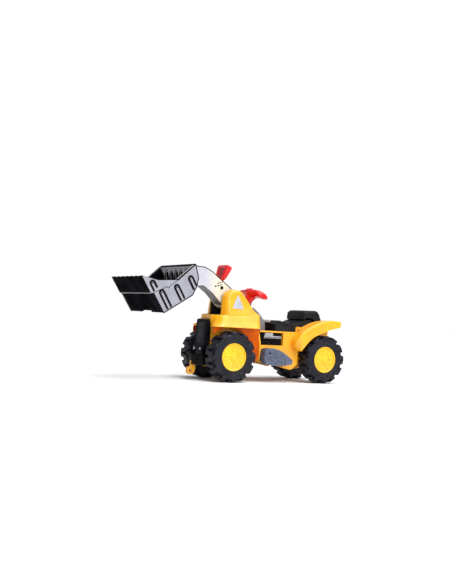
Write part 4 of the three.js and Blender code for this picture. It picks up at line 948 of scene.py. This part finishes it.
def handlebar_wing():
    """The winged bar: rounded sections carried from tip to tip along y. Each section's front, rear, top
    and underside are read off between the hub, the shoulder and the tip, so the wings sweep back and
    thin. Under it are a flared stem and a collar, and on top a thin pad."""
    share = np.linspace(-1, 1, 121)
    half = 98.0
    out = np.abs(share)
    key = [0, 0.2, 0.34, 0.6, 0.86, 0.95, 0.985, 1.0]
    front = np.interp(out, key, [36, 35, 33, 30, 26, 20, 13, 4])
    rear = np.interp(out, key, [-34, -34, -34, -36, -40, -38, -32, -22])
    top = np.interp(out, key, [23, 23, 22, 20, 16, 12, 7, -1])
    under = np.interp(out, key, [-15, -15, -13, -12, -14, -15, -13, -7])
    front, rear, top, under = (smoothed(line, 2, mode="edge") for line in (front, rear, top, under))
    around = 56
    turn = full_turn(around)[None, :]
    middle, reach = ((front + rear) / 2)[:, None], ((front - rear) / 2)[:, None]
    level, rise = ((top + under) / 2)[:, None], ((top - under) / 2)[:, None]
    across = middle + reach * squared_off(np.cos(turn), 0.75)
    crown = 1 - 0.35 * eased_step(np.abs(np.cos(turn)), 0.2, 1.0)
    along = level + rise * squared_off(np.sin(turn), 0.75) * crown
    rings = on_column(along, across, (share * half)[:, None] + 0 * along)
    piece("handlebar_wing", *capped(rings), RED, "steering", ("handlebar",), "red_plastic", 50)
    t = np.linspace(0, 1, 24)
    radius = np.interp(t, [0, 0.06, 0.5, 0.8, 1], [15.5, 17, 19, 24, 31])[:, None]
    height = np.interp(t, [0, 1], [-46, -8])[:, None]
    rings = on_column(height + 0 * turn, radius * np.cos(turn) * 0.92, radius * np.sin(turn) * 1.25)
    piece("handlebar_stem", *capped(rings), RED, "steering", (), "red_plastic", 50)
    section = np.array([(18.5, -44), (20, -45), (20, -49), (18.5, -50), (15, -50), (15, -44)])
    radius, height = section.T[:, None, :]
    rings = on_column(height + 0 * turn.T, radius * np.cos(turn.T), radius * np.sin(turn.T))
    faces = grid_faces(around, len(section), wrap_rows=True)
    piece("column_collar", rings.reshape(-1, 3), faces, GREY, "steering", (), "grey_plastic", 40)
    pad = corner_curve([(24, -26, 8), (24, 26, 8), (-20, 22, 8), (-20, -22, 8)], 6)
    levels = ((18, 1), (21.4, 1), (22.4, 0.96), (22.6, 0.9))
    rings = np.stack([on_column(h, pad[:, 0] * k, pad[:, 1] * k) for h, k in levels])
    piece("bar_centre_pad", *capped(rings), RED, "steering", (), "red_plastic", 40)


for hand, side in SIDES:
    arm_trim(hand, side)
lever_handle()
handlebar_wing()


# ------------------------------------------------------------------ steps, seat, front and engine bays
def step_ribs(hand, side):
    """Upright treads on the step's outer wall: rounded bars, each as long as the wall is high there. A
    screw head sits among them, and a row of small notches under them."""
    x0 = -146.0
    back = np.linspace(30, 146, 15)
    places = x0 - back
    top = np.interp(back, [24, 34, 70, 100, 122, 150], [30, 40, 43, 38, 28, 10])
    low = np.interp(back, [24, 40, 90, 150], [-18, -28, -33, -30])
    outer = 142.0
    for index, (x, high, foot) in enumerate(zip(places, top, low)):
        foot, high = foot + 3, high - 3
        bar = [(x - 2.4, foot, 2), (x + 2.4, foot, 2), (x + 2.4, high, 2), (x - 2.4, high, 2)]
        rings = slab(corner_curve(bar, 4), outer - 2, outer + 1.8, 1.3, steps=3) * [1, side, 1]
        piece(f"step_rib_{hand}_{index + 1}", *capped(rings), STEP_GREY, "chassis", (), "step_grey", 50)
    rings = slab(disc(x0 - 52, 22, 5, 24), outer - 1, outer + 2.6, 1.2) * [1, side, 1]
    piece(f"step_screw_{hand}", *capped(rings), BLACK, "chassis", (), "steel", 50)
    for index, x in enumerate(np.linspace(x0 - 96, x0 - 150, 5)):
        notch = corner_curve([(x - 3, -44, 2), (x + 3, -44, 2), (x + 4, -36, 2), (x - 4, -36, 2)], 4)
        rings = slab(notch, 97, 101.2, 0.8, steps=3) * [1, side, 1]
        piece(f"skid_notch_{hand}_{index + 1}", *capped(rings), BLACK, "chassis", (), "black_plastic", 50)


def back_cushion():
    """The moulded backrest: its side outline carried across with broad rounded ends; the outline is
    drawn in along three level bands, by the same depth all the way across."""
    rear = REAR_X - 12
    key = [(rear + 97, 184, 10), (rear + 95, 222, 14), (rear + 78, 231, 14), (rear + 8, 234, 20),
           (rear - 14, 190, 10), (rear - 16, 152, 3), (rear + 47, 152, 3), (rear + 49, 184, 6)]
    outline = corner_curve(key, 14)
    ahead = np.roll(outline, -1, 0) - outline
    dense = np.concatenate([outline + ahead * k for k in (0, 0.5)], 1).reshape(-1, 2)
    rings = slab(dense, -75, 75, 12, steps=7)
    z = rings[:, :, 2]
    middle = np.array([rear + 40, 195.0])
    bands = sum(np.exp(-(((z - level) / 1.5) ** 2)) for level in (198.0, 211.0, 223.0))
    pull = (bands * 2.6)[:, :, None]
    away = rings - np.array([middle[0], 0, middle[1]])
    away[:, :, 1] = 0
    away /= np.linalg.norm(away, axis=2, keepdims=True) + 1e-6
    rings = rings - away * pull
    piece("backrest_moulding", *capped(rings), CHARCOAL, "chassis", ("backrest",), "charcoal_plastic", 60)


def seat_rim():
    """The pale bead along the seat's front edge, a painted highlight on the dark seat's lip, and three
    raised lines across the seat.
    """
    front = -218.0
    rim = [(front + 3, 164, 2), (front + 2, 172, 3), (front - 5, 177, 3), (front - 12, 176, 2),
           (front - 4, 166, 3)]
    rings = slab(corner_curve(rim, 6), -92, 92, 2.5)
    piece("seat_front_highlight", *capped(rings), HIGHLIGHT_AND_TRIM_GREY, "chassis", (), "charcoal_plastic", 45)
    for index, x in enumerate((front - 84, front - 104, front - 124)):
        crest = 176 - index * 4.5
        bar = corner_curve([(x - 3, 162, 2), (x + 3, 162, 2), (x + 3, crest, 2.5), (x - 3, crest, 2.5)], 4)
        rings = slab(bar, -62, 62, 2)
        piece(f"seat_line_{index + 1}", *capped(rings), CHARCOAL, "chassis", (), "charcoal_plastic", 45)


def grille_face():
    """Level slats on the grille's sloping panel, and a dark bezel and a bright domed lens on each lamp."""
    for index, z in enumerate(np.linspace(62, 140, 9)):
        x = 100.6 - (z - 54) * 0.062
        slat = [(x - 1, z - 2.2, 1), (x + 1.6, z - 1.6, 1), (x + 1.6, z + 1.6, 1), (x - 1, z + 2.2, 1)]
        rings = slab(corner_curve(slat, 3), -23, 23, 1)
        piece(f"grille_slat_{index + 1}", *capped(rings), CHARCOAL, "chassis", (), "charcoal_plastic", 45)
    lamp_y, lamp_z, around = 28, 29, 40
    turn = full_turn(around)[:, None]
    section = np.array([(10.2, 106), (10.4, 110.2), (11.4, 111.6), (13.2, 111.2), (14, 108), (13.5, 105)])
    rim, x_rim = section.T[:, None, :]
    faces = grid_faces(around, len(section), wrap_rows=True)
    dome = np.linspace(0, np.pi / 2, 8)[None, :]
    radius, x = 10 * np.cos(dome), 107.5 + 4.5 * np.sin(dome)
    for hand, side in SIDES:
        y = side * lamp_y + rim * np.cos(turn)
        ring = np.stack([x_rim + 0 * y, y, lamp_z + rim * np.sin(turn)], -1)
        piece(f"lamp_bezel_{hand}", ring.reshape(-1, 3), faces, BLACK, "chassis", (), "black_plastic", 45)
        y = side * lamp_y + radius * np.cos(turn)
        rings = np.stack([x + 0 * turn, y, lamp_z + radius * np.sin(turn)], -1)
        node = (f"headlight_{hand}",)
        piece(f"lamp_lens_{hand}", *capped(rings.transpose(1, 0, 2)), CHROME, "chassis", node, "chrome", 45)


def bay_cylinder(hand, side):
    """The bright cylinder in the side bay: one profile of radius along x, turned round its axis, with a
    pale block behind it."""
    axis_y, axis_z = side * 93.0, 95
    profile = np.array([
        (0.02, -186), (5, -185.6), (6.2, -186.6), (8.6, -186.8), (9.4, -188), (9.4, -196), (8, -198),
        (8, -214), (8.8, -215), (8.8, -219), (8, -220), (8, -246), (8.8, -247), (8.8, -251), (8, -252),
        (8, -284), (0.02, -287)])
    radius, x = profile[:, :1], profile[:, 1:]
    turn = full_turn(48)[None, :]
    rings = np.stack([x + 0 * turn, axis_y + radius * np.cos(turn), axis_z + radius * np.sin(turn)], -1)
    piece(f"bay_cylinder_{hand}", *capped(rings), CHROME, "chassis", (f"exhaust_{hand}",), "chrome", 30)
    tank = corner_curve([(-196, 100, 4), (-196, 116, 4), (-240, 116, 4), (-240, 100, 4)], 5)
    rings = slab(tank, 84, 97, 2.5) * [1, side, 1]
    piece(f"bay_tank_{hand}", *capped(rings), HIGHLIGHT_AND_TRIM_GREY, "chassis", (), "charcoal_plastic", 45)


def tail_mouldings():
    """Three level ribs and a rounded border pressed into the body's rear wall: rounded bars along y, and
    an oval section carried round a rounded rectangle."""
    x = REAR_X - 66
    for index, z in enumerate((92, 110, 128)):
        bar = [(x + 2, z - 4, 1), (x - 2.4, z - 2.6, 2), (x - 2.4, z + 2.6, 2), (x + 2, z + 4, 1)]
        rings = slab(corner_curve(bar, 4), -48, 48, 2.5)
        piece(f"tail_rib_{index + 1}", *capped(rings), BODY_YELLOW, "chassis", (), "body_yellow", 45)
    around = full_turn(12)[None, :]
    path = corner_curve([(-62, 78, 14), (62, 78, 14), (62, 148, 14), (-62, 148, 14)], 10)
    out = path - path.mean(0)
    out /= np.linalg.norm(out, axis=1, keepdims=True)
    y = path[:, :1] + out[:, :1] * 2.2 * np.cos(around)
    z = path[:, 1:] + out[:, 1:] * 2.2 * np.cos(around)
    ring = np.stack([x - 1.8 * np.sin(around) + 0 * y, y, z], -1)
    faces = grid_faces(len(path), 12, wrap_rows=True)
    piece("tail_border", ring.reshape(-1, 3), faces, BODY_YELLOW, "chassis", (), "body_yellow", 60)


tail_mouldings()
for hand, side in SIDES:
    step_ribs(hand, side)
    bay_cylinder(hand, side)
back_cushion()
seat_rim()
grille_face()


# ------------------------------------------------------------------ plainer mouldings and metal parts
for node, width, material in (
    ("chassis", 3.0, BODY_YELLOW),
    ("console", 5.0, GREY),
    ("grille", 2.5, BLACK),
    ("grille_panel", 0.6, CHARCOAL),
    ("bumper", 4.0, BLACK),
    ("tow_hook", 2.5, BODY_YELLOW),
    ("engine_left", 1.5, BLACK),
    ("engine_right", 1.5, BLACK),
    ("footrest_left", 3.0, STEP_GREY),
    ("footrest_right", 3.0, STEP_GREY),
    ("seat", 4.0, CHARCOAL),
    ("front_axle_beam", 2.0, BLACK),
    ("knuckle_left", 1.0, BLACK),
    ("knuckle_right", 1.0, BLACK),
    ("drop_arm", 1.0, BLACK),
    ("arm_beam", 1.6, SILVER),
    # painted shade: the underside cover's dark colour stands for the shade under the arm
    ("arm_belly", 1.2, BELLY_SHADE_GREY),
    ("bucket", 1.5, BUCKET_BLACK),
    ("bucket_blade", 1.0, BUCKET_BLACK),
    ("bucket_cheek_left", 1.0, CHEEK_SILVER),
    ("bucket_cheek_right", 1.0, CHEEK_SILVER),
    ("lever_shank", 1.2, BLACK),
    ("push_rod", 0.8, STEEL),
):
    eased(node, width, material)
for node in (
    "rear_axle", "arm_pivot_pin", "bucket_pin", "lever_pin", "crank_pin", "ear_pin",
    "steering_shaft", "tie_rod", "kingpin_left", "kingpin_right",
):
    eased(node, 0.6, STEEL, segments=2)

# ------------------------------------------------------------------ floor, light and camera
def studio():
    """A round pale floor, one broad soft sun from the rider's left and behind, two soft boxes, and an
    even pale surround that the lens sees as white."""
    mesh = bpy.data.meshes.new("floor")
    around = 96
    rim = np.column_stack([disc(0, 0, 30, around), np.full(around, -0.0005)])
    mesh.from_pydata(rim.tolist(), [], [list(range(around))])
    floor = bpy.data.objects.new("floor", mesh)
    bpy.context.scene.collection.objects.link(floor)
    pale = bpy.data.materials.new("pale_floor")
    pale.use_nodes = True
    shader = pale.node_tree.nodes["Principled BSDF"]
    shader.inputs["Base Color"].default_value = (0.93, 0.93, 0.93, 1)
    shader.inputs["Roughness"].default_value = 0.9
    shader.inputs["Specular IOR Level"].default_value = 0.1
    mesh.materials.append(pale)
    sun = bpy.data.objects.new("key", bpy.data.lights.new("key", "SUN"))
    sun.data.energy = 2.9
    sun.data.angle = math.radians(70)
    sun.rotation_euler = Vector((-0.22, 0.48, 0.95)).to_track_quat("Z", "Y").to_euler()
    bpy.context.scene.collection.objects.link(sun)
    for name, spot, size, power in (
        ("side_softbox", (0.4, 2.6, 1.3), 1.6, 22),
        ("top_softbox", (-0.5, 0.3, 2.4), 1.4, 16),
    ):
        box = bpy.data.objects.new(name, bpy.data.lights.new(name, "AREA"))
        box.data.energy = power
        box.data.size = size
        box.location = spot
        box.rotation_euler = (Vector(spot) - Vector((0, 0, 0.25))).to_track_quat("Z", "Y").to_euler()
        bpy.context.scene.collection.objects.link(box)
    world = bpy.data.worlds.new("surround")
    world.use_nodes = True
    bpy.context.scene.world = world
    tree = world.node_tree
    seen = tree.nodes["Background"]
    seen.inputs["Color"].default_value = (1, 1, 1, 1)
    seen.inputs["Strength"].default_value = 1.0
    lit = tree.nodes.new("ShaderNodeBackground")
    lit.inputs["Color"].default_value = (0.93, 0.96, 1.0, 1)
    lit.inputs["Strength"].default_value = 0.45
    path = tree.nodes.new("ShaderNodeLightPath")
    choose = tree.nodes.new("ShaderNodeMixShader")
    tree.links.new(path.outputs["Is Camera Ray"], choose.inputs[0])
    tree.links.new(lit.outputs[0], choose.inputs[1])
    tree.links.new(seen.outputs[0], choose.inputs[2])
    tree.links.new(choose.outputs[0], tree.nodes["World Output"].inputs["Surface"])


def camera():
    """Low three-quarter view from the front left, a touch rolled, 3.6 m from the middle of the toy."""
    around, rise, roll = math.radians(30.8), math.radians(1.5), math.radians(3.4)
    back = Vector((math.sin(around) * math.cos(rise), math.cos(around) * math.cos(rise), math.sin(rise)))
    right = Vector((-math.cos(around), math.sin(around), 0))
    up = back.cross(right)
    x = math.cos(roll) * right + math.sin(roll) * up
    y = -math.sin(roll) * right + math.cos(roll) * up
    made = bpy.data.objects.new("camera", bpy.data.cameras.new("camera"))
    aim, distance = Vector((0.0215, 0, 0.2)), 3.643
    spot = aim + distance * back
    made.matrix_world = Matrix((
        (x.x, y.x, back.x, spot.x),
        (x.y, y.y, back.y, spot.y),
        (x.z, y.z, back.z, spot.z),
        (0, 0, 0, 1),
    ))
    made.data.lens = 48.0
    made.data.sensor_width = 36
    made.data.shift_x = -0.003767
    made.data.shift_y = 0.077055
    bpy.context.scene.collection.objects.link(made)
    bpy.context.scene.camera = made


bpy.context.scene.view_settings.view_transform = "Standard"
studio()
camera()
